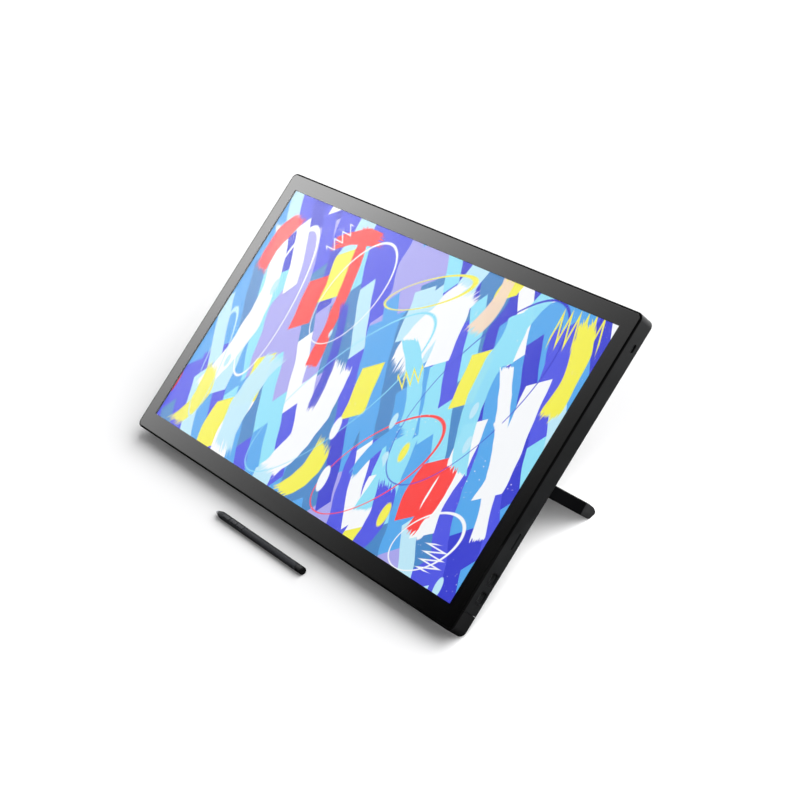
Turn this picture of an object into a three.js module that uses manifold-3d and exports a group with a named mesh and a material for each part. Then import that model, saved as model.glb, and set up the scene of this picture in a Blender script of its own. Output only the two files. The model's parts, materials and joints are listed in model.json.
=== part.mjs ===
// A pen drawing tablet: a 23.8 inch screen in a slim housing that leans back on two fold-out legs,
// with its pen lying on the desk in front of it.
//
// Everything is in millimetres. The display is drawn in its own frame: u to the right and v up along
// the glass, from the middle of the picture, and w out of the glass towards the person drawing. It is
// then tilted back, so that in the part's frame +X is right, +Y is away from that person, +Z is up,
// and the origin is on the desk under the middle of the display's bottom edge.

import * as THREE from "three";
import { mergeVertices } from "three/addons/utils/BufferGeometryUtils.js";
import Module from "manifold-3d";

const wasm = await Module();
wasm.setup();

// ---------------------------------------------------------------------------------------------
// Driving dimensions
// ---------------------------------------------------------------------------------------------

const RAD = Math.PI / 180;
const GAP = 0.3; // between neighbouring pieces
const THROUGH = 1; // how far a cutting tool runs past what it cuts
const FAR = 300; // a cutting tool's half size where it only has to be bigger than the body

const TILT = 24 * RAD; // of the display, back from lying flat
const BODY = { half: 282, top: 167, bottom: -169.5, depth: 20, corner: 7, edge: 1.4 };
const WALL = 2.4; // side walls
const BACK_WALL = 2;
const LIP = 1.6; // the side walls' front edge, round the glass
const SEAM = { v: -146.7, gap: 0.4 }; // where the foot strip meets the housing
const STRIP = { sole: -160, tabs: [-230, -80, 80, 230], tab: 24, tabV: [-151, -138], sideTabEnd: -140.5 };

// Layers from the glass backwards, each GAP behind the one before it.
const THICKNESS = {
  glass: 1.6,
  panel: 1.0,
  diffuser: 0.4,
  lightGuide: 1.8,
  tray: 0.4,
  digitizer: 0.4,
  shield: 0.3,
  chassis: 0.8,
};
const PANEL = { half: 268, top: 152, bottom: -158 };
const TRAY = { half: 269.5, top: 153.5, bottom: -159.5, wall: 0.6 };
const DIFFUSER = { half: 267, top: 151, bottom: -157 };
const LIGHT_GUIDE = { half: 267, top: 151, bottom: -151.5 };
const LED_BAR = { half: 262, v: [-157, -152] };
const SENSOR = { half: 264, top: 149.5, bottom: -149.5 };

const PORT_W = -12.6; // depth of the middle of every opening in the sides
const PORTS = { v: [-109.7, -129.3], long: 11.8, wide: 8.6, corner: 2.6, depth: 2.2, skin: 0.6 };
const USB = { long: 9, wide: 3.3, skin: 0.3, depth: 8 };
const PORT_ROOM = { u: [268.5, 281], v: [-139.5, -100], w: [-7.2, -10] }; // notch in the chassis
const LOCK = { v: 135.8, long: 9, wide: 3.6, bracket: 16 };
const PEN_SLOT = { v: -69.8, long: 17.5, wide: 2.5, depth: 1.8 };
const POWER = { u: 225, long: 13.4, wide: 3.4, proud: 0.4, light: 242 };

const LEG = { inner: 205.8, outer: 277.8, r: 6.4, pinV: -13.6, pinW: -16.9, pinR: 2, open: 94.5 * RAD };
const LEG_FOOT = { from: 57, proud: 0.2, side: 0.2, tongue: 4.2, tongueEnd: 68, tongueInset: 3.6 };
const SOLE = { heel: -4.8, toe: 0.4, curl: [0.9, 2.8], back: [70.5, 5.5], taper: [65, 6.7], shoulder: 57.6 };
const KNUCKLE = { width: 39.4, half: 5, notch: 6.8 };
const POCKET = { side: 0.8, end: 0.7, skin: 0.8 };

const BEVEL = 3.6; // flat along the bottom back edge, parallel to the desk
const EDGE_FOOT = { half: 240, width: 2.8, thick: 1.8, proud: 1.42 };
const REAR_FOOT = { u: 150, v: [128, -128], long: 60, wide: 8, recess: 0.6, proud: 3.5 };
const VESA = { pitch: 100, size: 118, corner: 6, boss: 6, hole: 2, proud: 0.5, thick: 2.8 };
const SCREW = { at: [[262, 148], [-262, 148], [150, -100], [-150, -100]], r: 1.2, head: 2.6, boss: 4.2 };
const VENT = { count: 14, pitch: 13, wide: 3, from: 124, to: 146 };
const BOARD = 1.2; // thickness of a circuit board
const MAIN_BOARD = { u: [80, 190], v: [20, 116] };
const DRIVER_BOARD = { u: [-130, 130], v: [-136, -113] };
const PROCESSOR = { u: [110, 160], v: [50, 95], thick: 2.3 };
const SPREADER = { u: [88, 182], v: [30, 108], thick: 1 };
const FIN = { count: 8, from: 93, pitch: 11, thick: 1.5, v: [34, 104], tall: 2.5 };
const PANEL_CABLE = [95, 115];
const SENSOR_CABLE = { u: [141, 159], at: -30, thick: 0.3, room: [-32, -29], side: 2 };

const PORT_CABLE = {
  r: 1.3,
  drop: 2.6, // behind the middle of the sockets
  route: [[249, -120], [212, -118], [197, -100], [196, -20], [196, 30], [196, 60]],
};
const POWER_CABLE = { r: 0.9, route: [[204, 150], [190, 150], [176, 144], [172, 130], [172, 117.5]] };

const PEN = { length: 160.4, r: 4, wall: 1, ahead: 35.8, tipX: -85.4 };
const PEN_TIP = { nibR: 0.9, nibLong: 20, cone: [1.4, 5.6], coneR: [1.3, 2.75], collar: 2.4, noseEnd: 9.6 };
const PEN_SWITCH = { start: 17.6, long: 12, gap: 0.5, half: 2.2, crown: 0.35 };
const PEN_COIL = { end: 20.4, r: 2.3, flat: 1.85 }; // its turns are flattened under the switches
const PEN_BOARD = { x: [21, 96], half: 2.2, z: [-0.6, 0.4] };
const PEN_SENSOR = { x: [97, 103], half: 1.8 };
const PEN_CAP = 10; // length of the tail cap

// ---------------------------------------------------------------------------------------------
// Helpers
// ---------------------------------------------------------------------------------------------

/** A closed geometry as a solid for booleans. */
function solid(geometry) {
  const bare = geometry.index ? geometry.toNonIndexed() : geometry.clone();
  bare.deleteAttribute("normal");
  bare.deleteAttribute("uv");
  const merged = mergeVertices(bare, 1e-4);
  return new wasm.Manifold(
    new wasm.Mesh({
      numProp: 3,
      vertProperties: merged.attributes.position.array,
      triVerts: new Uint32Array(merged.index.array),
    }),
  );
}

/** A solid back as a geometry with flat normals. */
function geometryOf(shape) {
  const mesh = shape.getMesh();
  const indexed = new THREE.BufferGeometry();
  indexed.setAttribute("position", new THREE.BufferAttribute(mesh.vertProperties, 3));
  indexed.setIndex(new THREE.BufferAttribute(mesh.triVerts, 1));
  const flat = indexed.toNonIndexed();
  flat.computeVertexNormals();
  return flat;
}

const join = (first, ...others) => others.reduce((sum, other) => sum.add(other), first);
const cut = (first, ...others) => others.reduce((rest, other) => rest.subtract(other), first);

/** A box between two values on each of the three axes. */
function box([x0, x1], [y0, y1], [z0, z1]) {
  const block = new THREE.BoxGeometry(Math.abs(x1 - x0), Math.abs(y1 - y0), Math.abs(z1 - z0));
  return solid(block.translate((x0 + x1) / 2, (y0 + y1) / 2, (z0 + z1) / 2));
}

/** A rectangle with round corners, between two corners of its own plane. */
function roundedRect(x0, y0, x1, y1, r) {
  const outline = new THREE.Shape();
  outline.absarc(x1 - r, y1 - r, r, 0, Math.PI / 2, false);
  outline.absarc(x0 + r, y1 - r, r, Math.PI / 2, Math.PI, false);
  outline.absarc(x0 + r, y0 + r, r, Math.PI, Math.PI * 1.5, false);
  outline.absarc(x1 - r, y0 + r, r, Math.PI * 1.5, Math.PI * 2, false);
  outline.closePath();
  return outline;
}

/** A slot outline with round ends, centred on (x, y), long in x. */
function slotShape(x, y, long, wide) {
  return roundedRect(x - long / 2, y - wide / 2, x + long / 2, y + wide / 2, wide / 2 - 1e-3);
}

function circle(x, y, r) {
  const outline = new THREE.Shape();
  for (let quarter = 0; quarter < 4; quarter += 1) {
    outline.absarc(x, y, r, (quarter * Math.PI) / 2, ((quarter + 1) * Math.PI) / 2, false);
  }
  return outline;
}

// Extruding draws an outline in a plane and grows it along that plane's normal.
const AXIS = {
  w: new THREE.Matrix4(), // outline in (u, v)
  u: new THREE.Matrix4().makeBasis(
    new THREE.Vector3(0, 1, 0), new THREE.Vector3(0, 0, 1), new THREE.Vector3(1, 0, 0),
  ), // outline in (v, w)
  v: new THREE.Matrix4().makeBasis(
    new THREE.Vector3(0, 0, 1), new THREE.Vector3(1, 0, 0), new THREE.Vector3(0, 1, 0),
  ), // outline in (w, u)
};

/**
 * An outline grown along an axis from one place to another; edge rounds both rims by that radius, and
 * each quarter turn of the outline gets twice as many facets as segments says.
 */
function extrude(outline, axis, from, to, { segments = 4, edge = 0, edgeSteps = 3 } = {}) {
  const low = Math.min(from, to);
  const high = Math.max(from, to);
  const grown = new THREE.ExtrudeGeometry(outline, {
    depth: high - low - 2 * edge,
    curveSegments: segments,
    bevelEnabled: edge > 0,
    bevelThickness: edge,
    bevelSize: edge,
    bevelOffset: -edge,
    bevelSegments: edgeSteps,
  });
  grown.translate(0, 0, low + edge);
  return solid(grown.applyMatrix4(AXIS[axis]));
}

/** A profile of [x, r] points turned about the x axis. */
function turned(profile, segments = 28) {
  const points = profile.map(([x, r]) => new THREE.Vector2(r, x));
  return solid(new THREE.LatheGeometry(points, segments).rotateZ(-Math.PI / 2));
}

function material(color, roughness, metalness = 0) {
  return new THREE.MeshStandardMaterial({ color, roughness, metalness });
}

const LOOK = {
  glass: material(0x101113, 0.12),
  housing: material(0x2b2c2e, 0.6),
  strip: material(0x232426, 0.7),
  rubber: material(0x1b1b1c, 0.9),
  steel: material(0x9a9da0, 0.35, 1),
  aluminium: material(0xb4b7ba, 0.4, 1),
  board: material(0x1f5a3a, 0.5),
  chip: material(0x17181a, 0.5),
  film: material(0xe9edf2, 0.3),
  cable: material(0xc08a3a, 0.5),
  penDark: material(0x2f3033, 0.6),
  penTip: material(0xb9bcc0, 0.4),
  gloss: material(0x0c0c0d, 0.15),
  copper: material(0xb87333, 0.35, 1),
};

/** Adds a named piece to a group. */
function piece(group, name, shape, look) {
  const mesh = new THREE.Mesh(geometryOf(shape), look);
  mesh.name = name;
  group.add(mesh);
  return mesh;
}

// ---------------------------------------------------------------------------------------------
// Places worked out from the driving dimensions
// ---------------------------------------------------------------------------------------------

/** The front and back of each layer, keyed by its name. */
function stackLayers() {
  const at = {};
  let front = 0;
  for (const [name, thick] of Object.entries(THICKNESS)) {
    at[name] = [front, front - thick];
    front -= thick + GAP;
  }
  return at;
}

const AT = stackLayers();
const BACK = -BODY.depth;
const INSIDE = BACK + BACK_WALL; // the back wall's inner face
const CHASSIS_INSET = WALL + 0.4;
const RIM = AT.glass[1] - 3 * GAP; // front of the chassis rim, with the glass tape in front of it
const CEILING = AT.chassis[1] - GAP - POCKET.skin; // the leg pockets' inner face

// The bevel's lower end is on the bottom face and its upper end on the back face.
const BEVEL_AT = { v: BODY.bottom, w: BACK + BEVEL * Math.sin(TILT) };
const height = (v, w) => v * Math.sin(TILT) + w * Math.cos(TILT);
const reach = (v, w) => v * Math.cos(TILT) - w * Math.sin(TILT);
const DESK = height(BEVEL_AT.v, BEVEL_AT.w) - EDGE_FOOT.proud;
const EDGE_MID = reach(BEVEL_AT.v, BEVEL_AT.w) + BEVEL / 2;

// The leg is as long as it takes for its sole to lie flat on the desk when it is open. Along it,
// from the pin, the sole is at soleAt(across), where across is positive on the leg's outer side.
const LEG_DROP = Math.PI - LEG.open - TILT; // the open leg's angle below the level
const soleAt = (across) =>
  (height(LEG.pinV, LEG.pinW) - DESK + across * Math.cos(LEG_DROP)) / Math.sin(LEG_DROP);
const LEG_MIDDLE = (LEG.inner + LEG.outer) / 2;

/** The body's outline drawn in by an inset, with its corners following. */
function bodyOutline(inset) {
  const { half, top, bottom, corner } = BODY;
  return roundedRect(-half + inset, bottom + inset, half - inset, top - inset, corner - inset);
}

/** A plain sheet with the outline of one layer's sizes. */
function sheet({ half, top, bottom }, [front, back], corner = 1.5) {
  return extrude(roundedRect(-half, bottom, half, top, corner), "w", back, front, { segments: 2 });
}

// ---------------------------------------------------------------------------------------------
// Screen stack
// ---------------------------------------------------------------------------------------------

function buildScreen(display) {
  const glass = extrude(bodyOutline(LIP + GAP), "w", ...AT.glass, { segments: 10, edge: 0.3, edgeSteps: 1 });
  piece(display, "cover_glass", glass, LOOK.glass);

  const tapeFront = AT.glass[1] - GAP;
  const clear = { half: TRAY.half + 2, top: TRAY.top + 2, bottom: TRAY.bottom - 2 };
  const tape = cut(
    extrude(bodyOutline(CHASSIS_INSET + 1), "w", tapeFront, tapeFront - GAP),
    sheet(clear, [tapeFront + THROUGH, tapeFront - GAP - THROUGH]),
  );
  piece(display, "glass_tape", tape, LOOK.rubber);

  piece(display, "lcd_panel", sheet(PANEL, AT.panel), LOOK.glass);
  piece(display, "diffuser_sheet", sheet(DIFFUSER, AT.diffuser), LOOK.film);
  piece(display, "light_guide", sheet(LIGHT_GUIDE, AT.lightGuide), LOOK.film);
  const ledBar = box([-LED_BAR.half, LED_BAR.half], LED_BAR.v, AT.lightGuide);
  piece(display, "led_bar", ledBar, LOOK.aluminium);

  const hollow = { half: TRAY.half - TRAY.wall, top: TRAY.top - TRAY.wall, bottom: TRAY.bottom + TRAY.wall };
  const tray = cut(
    sheet(TRAY, [RIM, AT.tray[1]], 2),
    sheet(hollow, [THROUGH, AT.tray[0]], 2),
  );
  piece(display, "backlight_tray", tray, LOOK.steel);

  piece(display, "pen_sensor_board", sheet(SENSOR, AT.digitizer), LOOK.board);
  piece(display, "shield_plate", cut(sheet(SENSOR, AT.shield), cableSlot()), LOOK.steel);
}

/** The way through the shield plate and the chassis for the sensor's cable. */
function cableSlot() {
  const { u, room, side } = SENSOR_CABLE;
  return box([u[0] - side, u[1] + side], room, [AT.shield[0] + THROUGH, AT.chassis[1] - THROUGH]);
}

/** The chassis: a shallow tub with a broad rim that carries the glass, and holes for the screws. */
function buildChassis(display) {
  const inside = roundedRect(-TRAY.half - 0.8, TRAY.bottom - 0.8, TRAY.half + 0.8, TRAY.top + 0.8, 2);
  const floorBack = AT.chassis[1];
  const screwHoles = SCREW.at.map(([u, v]) =>
    extrude(circle(u, v, SCREW.r + GAP), "w", AT.chassis[0] + THROUGH, floorBack - THROUGH));
  const chassis = cut(
    extrude(bodyOutline(CHASSIS_INSET), "w", floorBack, RIM),
    extrude(inside, "w", AT.chassis[0], THROUGH),
    box(PORT_ROOM.u, PORT_ROOM.v, PORT_ROOM.w),
    cableSlot(),
    ...screwHoles,
  );
  piece(display, "chassis", chassis, LOOK.aluminium);
}

// ---------------------------------------------------------------------------------------------
// Housing
// ---------------------------------------------------------------------------------------------

/** The whole body's skin: open at the front, with a ledge for the glass inside its lip. */
function bodySkin() {
  return cut(
    extrude(bodyOutline(0), "w", BACK, 0, { segments: 10, edge: BODY.edge, edgeSteps: 5 }),
    extrude(bodyOutline(WALL), "w", INSIDE, THROUGH, { segments: 6 }),
    extrude(bodyOutline(LIP), "w", AT.glass[1] - GAP, THROUGH, { segments: 10 }),
  );
}

/** Room for one folded leg, open at the back. Side is 1 for the right leg and -1 for the left. */
function legPocket(side, skin) {
  const foot = LEG.pinV - soleAt(SOLE.toe);
  const u = [LEG.inner - POCKET.side - skin, LEG.outer + POCKET.side + skin].map((x) => side * x);
  const v = [foot - POCKET.end - skin, LEG.pinV + LEG.r + POCKET.end + skin];
  return box(u, v, [CEILING + skin, skin > 0 ? INSIDE - 0.5 : BACK - THROUGH]);
}

function sideOpenings() {
  const outer = BODY.half;
  const through = [outer - WALL - THROUGH, outer + THROUGH];
  const grow = 2 * (PORTS.skin + GAP);
  const portHoles = PORTS.v.map((v) => {
    const long = (PORTS.long + grow) / 2;
    const wide = (PORTS.wide + grow) / 2;
    const corner = PORTS.corner + grow / 2;
    return extrude(roundedRect(v - long, PORT_W - wide, v + long, PORT_W + wide, corner), "u", ...through);
  });
  const lockHole = extrude(slotShape(LOCK.v, PORT_W, LOCK.long, LOCK.wide), "u", ...through);
  const { v, long, wide, depth } = PEN_SLOT;
  const penSlot = extrude(slotShape(v, PORT_W, long, wide), "u", outer - depth, outer + THROUGH);
  return [...portHoles, lockHole, penSlot];
}

function topOpenings() {
  const through = [BODY.top - WALL - THROUGH, BODY.top + THROUGH];
  const { u, long, wide, light } = POWER;
  const across = (wide + 2 * GAP) / 2;
  const along = (long + 2 * GAP) / 2;
  const outline = roundedRect(PORT_W - across, u - along, PORT_W + across, u + along, across - 0.01);
  return [
    extrude(outline, "v", ...through),
    extrude(circle(PORT_W, light, 0.9 + GAP), "v", ...through),
  ];
}

function ventSlots() {
  const first = -((VENT.count - 1) * VENT.pitch) / 2;
  return Array.from({ length: VENT.count }, (_, i) => {
    const u = first + i * VENT.pitch;
    return box([u - VENT.wide / 2, u + VENT.wide / 2], [VENT.from, VENT.to], [INSIDE + 1, BACK - 1]);
  });
}

function rearFootRecess(u, v, room, from, to) {
  const { long, wide } = REAR_FOOT;
  const outline = slotShape(u, v, long + 2 * room, wide + 2 * room);
  return extrude(outline, "w", from, to);
}

const rearFeet = () => REAR_FOOT.v.flatMap((v) => [REAR_FOOT.u, -REAR_FOOT.u].map((u) => [u, v]));

function buildHousing(display) {
  const belowSeam = box([-FAR, FAR], [-FAR, SEAM.v + SEAM.gap / 2], [-FAR, FAR]);
  const bossTop = AT.chassis[1] - GAP;
  const bosses = SCREW.at.map(([u, v]) => extrude(circle(u, v, SCREW.boss), "w", INSIDE - 1, bossTop));
  const screwRoom = SCREW.at.flatMap(([u, v]) => [
    extrude(circle(u, v, SCREW.r + GAP), "w", BACK - 1, 0),
    extrude(circle(u, v, SCREW.head + GAP), "w", BACK - 1, BACK + 1.7),
  ]);
  const vesaRoom = VESA.size / 2 + GAP;
  const vesaHole = roundedRect(-vesaRoom, -vesaRoom, vesaRoom, vesaRoom, VESA.corner + GAP);
  const footRooms = rearFeet().map(([u, v]) =>
    rearFootRecess(u, v, GAP, BACK - 1, BACK + REAR_FOOT.recess));
  const housing = cut(
    join(cut(bodySkin(), belowSeam), legPocket(1, POCKET.skin), legPocket(-1, POCKET.skin), ...bosses),
    legPocket(1, 0),
    legPocket(-1, 0),
    extrude(vesaHole, "w", BACK - 1, INSIDE + 1),
    ...screwRoom,
    ...footRooms,
    ...ventSlots(),
    ...sideOpenings(),
    ...topOpenings(),
  );
  piece(display, "rear_housing", housing, LOOK.housing);

  rearFeet().forEach(([u, v], i) => {
    const pad = rearFootRecess(u, v, 0, BACK - REAR_FOOT.proud, BACK + REAR_FOOT.recess - GAP);
    piece(display, `rear_foot_${i + 1}`, pad, LOOK.rubber);
  });
}

/** Turns something drawn flat on the desk, under the bottom edge, into the display's own frame. */
function fromDesk(shape) {
  const place = new THREE.Matrix4()
    .makeRotationX(-TILT)
    .multiply(new THREE.Matrix4().makeTranslation(0, EDGE_MID, DESK));
  return solid(geometryOf(shape).applyMatrix4(place));
}

function buildFootStrip(display) {
  const aboveSeam = box([-FAR, FAR], [SEAM.v - SEAM.gap / 2, FAR], [-FAR, FAR]);
  const sole = cut(
    extrude(bodyOutline(0.2), "w", BACK + BODY.edge, AT.chassis[1] - 0.6, { segments: 10 }),
    box([-FAR, FAR], [STRIP.sole, FAR], [-FAR, FAR]),
  );
  const root = [STRIP.tabV[0], SEAM.v - SEAM.gap];
  const tabs = STRIP.tabs.flatMap((u) => {
    const across = [u - STRIP.tab / 2, u + STRIP.tab / 2];
    return [
      box(across, STRIP.tabV, [INSIDE + GAP, INSIDE + 1.8]),
      box(across, root, [INSIDE - 1, INSIDE + 1.8]),
    ];
  });
  const inner = BODY.half - WALL;
  const deep = [AT.chassis[1] - 2 * GAP, INSIDE + GAP];
  const sideTabs = [1, -1].flatMap((side) => [
    box([side * (inner - 1.8), side * (inner - GAP)], [root[0], STRIP.sideTabEnd], deep),
    box([side * (inner - 1.8), side * (inner + 0.1)], root, deep),
  ]);
  const { half, width, thick, proud } = EDGE_FOOT;
  const underDesk = fromDesk(box([-FAR, FAR], [-30, 30], [-20, proud]));
  const room = width / 2 + GAP;
  const footRoom = fromDesk(box([-half - GAP, half + GAP], [-room, room], [-1, thick + GAP]));
  const strip = cut(join(cut(bodySkin(), aboveSeam), sole, ...tabs, ...sideTabs), underDesk, footRoom);
  piece(display, "foot_strip", strip, LOOK.strip);

  const edgeFoot = fromDesk(box([-half, half], [-width / 2, width / 2], [0, thick]));
  piece(display, "edge_foot", edgeFoot, LOOK.rubber);
}

function buildFasteners(display) {
  const headSeat = BACK + 1.7 - GAP;
  SCREW.at.forEach(([u, v], i) => {
    const head = extrude(circle(u, v, SCREW.head), "w", BACK + 0.2, headSeat);
    const cross = [
      box([u - 1.5, u + 1.5], [v - 0.3, v + 0.3], [BACK - 1, BACK + 0.8]),
      box([u - 0.3, u + 0.3], [v - 1.5, v + 1.5], [BACK - 1, BACK + 0.8]),
    ];
    const shank = extrude(circle(u, v, SCREW.r), "w", headSeat - 0.2, AT.chassis[0] - 0.1);
    piece(display, `cover_screw_${i + 1}`, join(cut(head, ...cross), shank), LOOK.steel);
  });

  const half = VESA.size / 2;
  const back = BACK - VESA.proud;
  const corners = [1, -1].flatMap((x) => [1, -1].map((y) => [(x * VESA.pitch) / 2, (y * VESA.pitch) / 2]));
  const plate = cut(
    join(
      extrude(roundedRect(-half, -half, half, half, VESA.corner), "w", back, back + VESA.thick),
      ...corners.map(([u, v]) => extrude(circle(u, v, VESA.boss), "w", back + 1, AT.chassis[1] - GAP)),
    ),
    ...corners.map(([u, v]) => extrude(circle(u, v, VESA.hole), "w", back - 1, 0)),
  );
  piece(display, "vesa_plate", plate, LOOK.steel);
}

// ---------------------------------------------------------------------------------------------
// Sockets, boards and cables
// ---------------------------------------------------------------------------------------------

function buildPorts(display) {
  const face = BODY.half - 0.2;
  const floor = BODY.half - PORTS.depth;
  const mouth = floor - 0.1;
  ["upper", "lower"].forEach((where, i) => {
    const v = PORTS.v[i];
    const cup = (grow) => {
      const long = PORTS.long / 2 + grow;
      const wide = PORTS.wide / 2 + grow;
      return roundedRect(v - long, PORT_W - wide, v + long, PORT_W + wide, PORTS.corner + grow);
    };
    const usb = (grow) => slotShape(v, PORT_W, USB.long + 2 * grow, USB.wide + 2 * grow);
    const bezel = cut(
      extrude(cup(PORTS.skin), "u", floor - 0.8, face),
      extrude(cup(0), "u", floor, face + THROUGH),
      extrude(usb(GAP), "u", floor - 2, floor + THROUGH),
    );
    piece(display, `port_bezel_${where}`, bezel, LOOK.housing);

    const rear = mouth - USB.depth;
    const shell = cut(
      extrude(usb(0), "u", rear, mouth),
      extrude(usb(-USB.skin), "u", rear + 1, mouth + THROUGH),
    );
    const tongue = box([rear + 0.5, mouth - 0.6], [v - 3.3, v + 3.3], [PORT_W - 0.35, PORT_W + 0.35]);
    piece(display, `usb_socket_${where}`, join(shell, tongue), LOOK.steel);
  });

  const boardFront = PORT_W - USB.wide / 2 - GAP;
  const board = box([250, floor - 1.2], [-139, -100.5], [boardFront, boardFront - BOARD]);
  piece(display, "port_board", board, LOOK.board);

  const inner = BODY.half - WALL - GAP;
  const lockPlate = cut(
    box(
      [inner - 3.6, inner],
      [LOCK.v - LOCK.bracket / 2, LOCK.v + LOCK.bracket / 2],
      [AT.chassis[1] - GAP, INSIDE + GAP],
    ),
    extrude(slotShape(LOCK.v, PORT_W, LOCK.long, LOCK.wide), "u", inner - 5, inner + 1),
  );
  piece(display, "lock_bracket", lockPlate, LOOK.steel);
}

/** A round cable along its route, at one depth. */
function cable({ r, route }, w) {
  const through = route.map(([u, v]) => new THREE.Vector3(u, v, w));
  const extrudePath = new THREE.CatmullRomCurve3(through, false, "catmullrom", 0.2);
  return solid(new THREE.ExtrudeGeometry(circle(0, 0, r), { extrudePath, steps: 20, curveSegments: 1 }));
}

function buildElectronics(display) {
  const front = AT.chassis[1] - 1;
  const back = front - BOARD;
  piece(display, "main_board", box(MAIN_BOARD.u, MAIN_BOARD.v, [front, back]), LOOK.board);
  piece(display, "panel_driver_board", box(DRIVER_BOARD.u, DRIVER_BOARD.v, [front, back]), LOOK.board);
  const canBack = back - GAP - PROCESSOR.thick;
  piece(display, "processor_can", box(PROCESSOR.u, PROCESSOR.v, [back - GAP, canBack]), LOOK.steel);
  const spreaderFront = canBack - GAP;
  const spreaderBack = spreaderFront - SPREADER.thick;
  const fins = Array.from({ length: FIN.count }, (_, i) => {
    const u = FIN.from + i * FIN.pitch;
    return box([u, u + FIN.thick], FIN.v, [spreaderBack + 0.4, spreaderBack - FIN.tall]);
  });
  const spreader = join(box(SPREADER.u, SPREADER.v, [spreaderFront, spreaderBack]), ...fins);
  piece(display, "heat_spreader", spreader, LOOK.aluminium);

  const cableFront = front - GAP;
  const cableBack = cableFront - SENSOR_CABLE.thick;
  const boardEdge = MAIN_BOARD.v[0] - 0.4;
  const panelCable = box(PANEL_CABLE, [DRIVER_BOARD.v[1] + 0.4, boardEdge], [cableFront, cableBack]);
  piece(display, "panel_cable", panelCable, LOOK.cable);
  const { u, at } = SENSOR_CABLE;
  const sensorCable = join(
    box(u, [at - 1.2, at], [AT.shield[0] - 0.1, cableBack]),
    box(u, [at - 0.6, boardEdge], [cableFront, cableBack]),
  );
  piece(display, "sensor_cable", sensorCable, LOOK.cable);

  piece(display, "port_cable", cable(PORT_CABLE, PORT_W - PORT_CABLE.drop), LOOK.rubber);
  piece(display, "power_cable", cable(POWER_CABLE, PORT_W), LOOK.rubber);
}

function buildPowerButton(display) {
  const { u, long, wide, proud, light } = POWER;
  const inner = BODY.top - WALL - GAP;
  const across = wide / 2;
  const cap = roundedRect(PORT_W - across, u - long / 2, PORT_W + across, u + long / 2, across - 0.01);
  const button = join(
    extrude(cap, "v", inner - 0.4, BODY.top + proud),
    box([u - long / 2 - 1.5, u + long / 2 + 1.5], [inner - 1, inner], [PORT_W - 2.6, PORT_W + 2.6]),
    box([u - 1.5, u + 1.5], [inner - 2.4, inner - 0.5], [PORT_W - 1, PORT_W + 1]),
  );
  piece(display, "power_button", button, LOOK.housing);

  const switchTop = inner - 3.4;
  piece(display, "power_switch",
    box([u - 3, u + 3], [switchTop - 3, switchTop], [PORT_W - 1.7, PORT_W + 1.7]), LOOK.chip);
  piece(display, "power_board",
    box([205, 249], [switchTop - 3.3 - BOARD, switchTop - 3.3], [-10, -17.4]), LOOK.board);
  piece(display, "power_light_pipe",
    extrude(circle(PORT_W, light, 0.9), "v", switchTop - 2.8, BODY.top - 0.1), LOOK.film);
}

// ---------------------------------------------------------------------------------------------
// Fold-out legs
// ---------------------------------------------------------------------------------------------

// A leg is drawn folded, with its pin at the origin, the leg running down along -v and its outer
// side facing -w.

/** The straight part of the leg, round its pin at one end and square at the other. */
function legProfile(to, half) {
  const profile = new THREE.Shape();
  profile.absarc(0, 0, half, -Math.PI / 2, Math.PI / 2, false);
  profile.lineTo(-to, half);
  profile.lineTo(-to, -half);
  profile.closePath();
  return profile;
}

/** The foot's side view: a flat sole, cut slanting so that it lies on the desk, and a tapering back. */
function footProfile(half) {
  const at = (along, across) => [-along, -across];
  const { heel, toe, curl, back, taper, shoulder } = SOLE;
  const profile = new THREE.Shape();
  profile.moveTo(...at(LEG_FOOT.from + GAP, half));
  profile.lineTo(...at(LEG_FOOT.from + GAP, -half));
  profile.lineTo(...at(soleAt(heel) - 3.5, -half));
  profile.quadraticCurveTo(...at(soleAt(-half), -half), ...at(soleAt(heel), heel));
  profile.lineTo(...at(soleAt(toe), toe));
  profile.quadraticCurveTo(...at(soleAt(toe) + curl[0], toe + curl[1]), ...at(...back));
  profile.quadraticCurveTo(...at(...taper), ...at(shoulder, half));
  profile.closePath();
  return profile;
}

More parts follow.
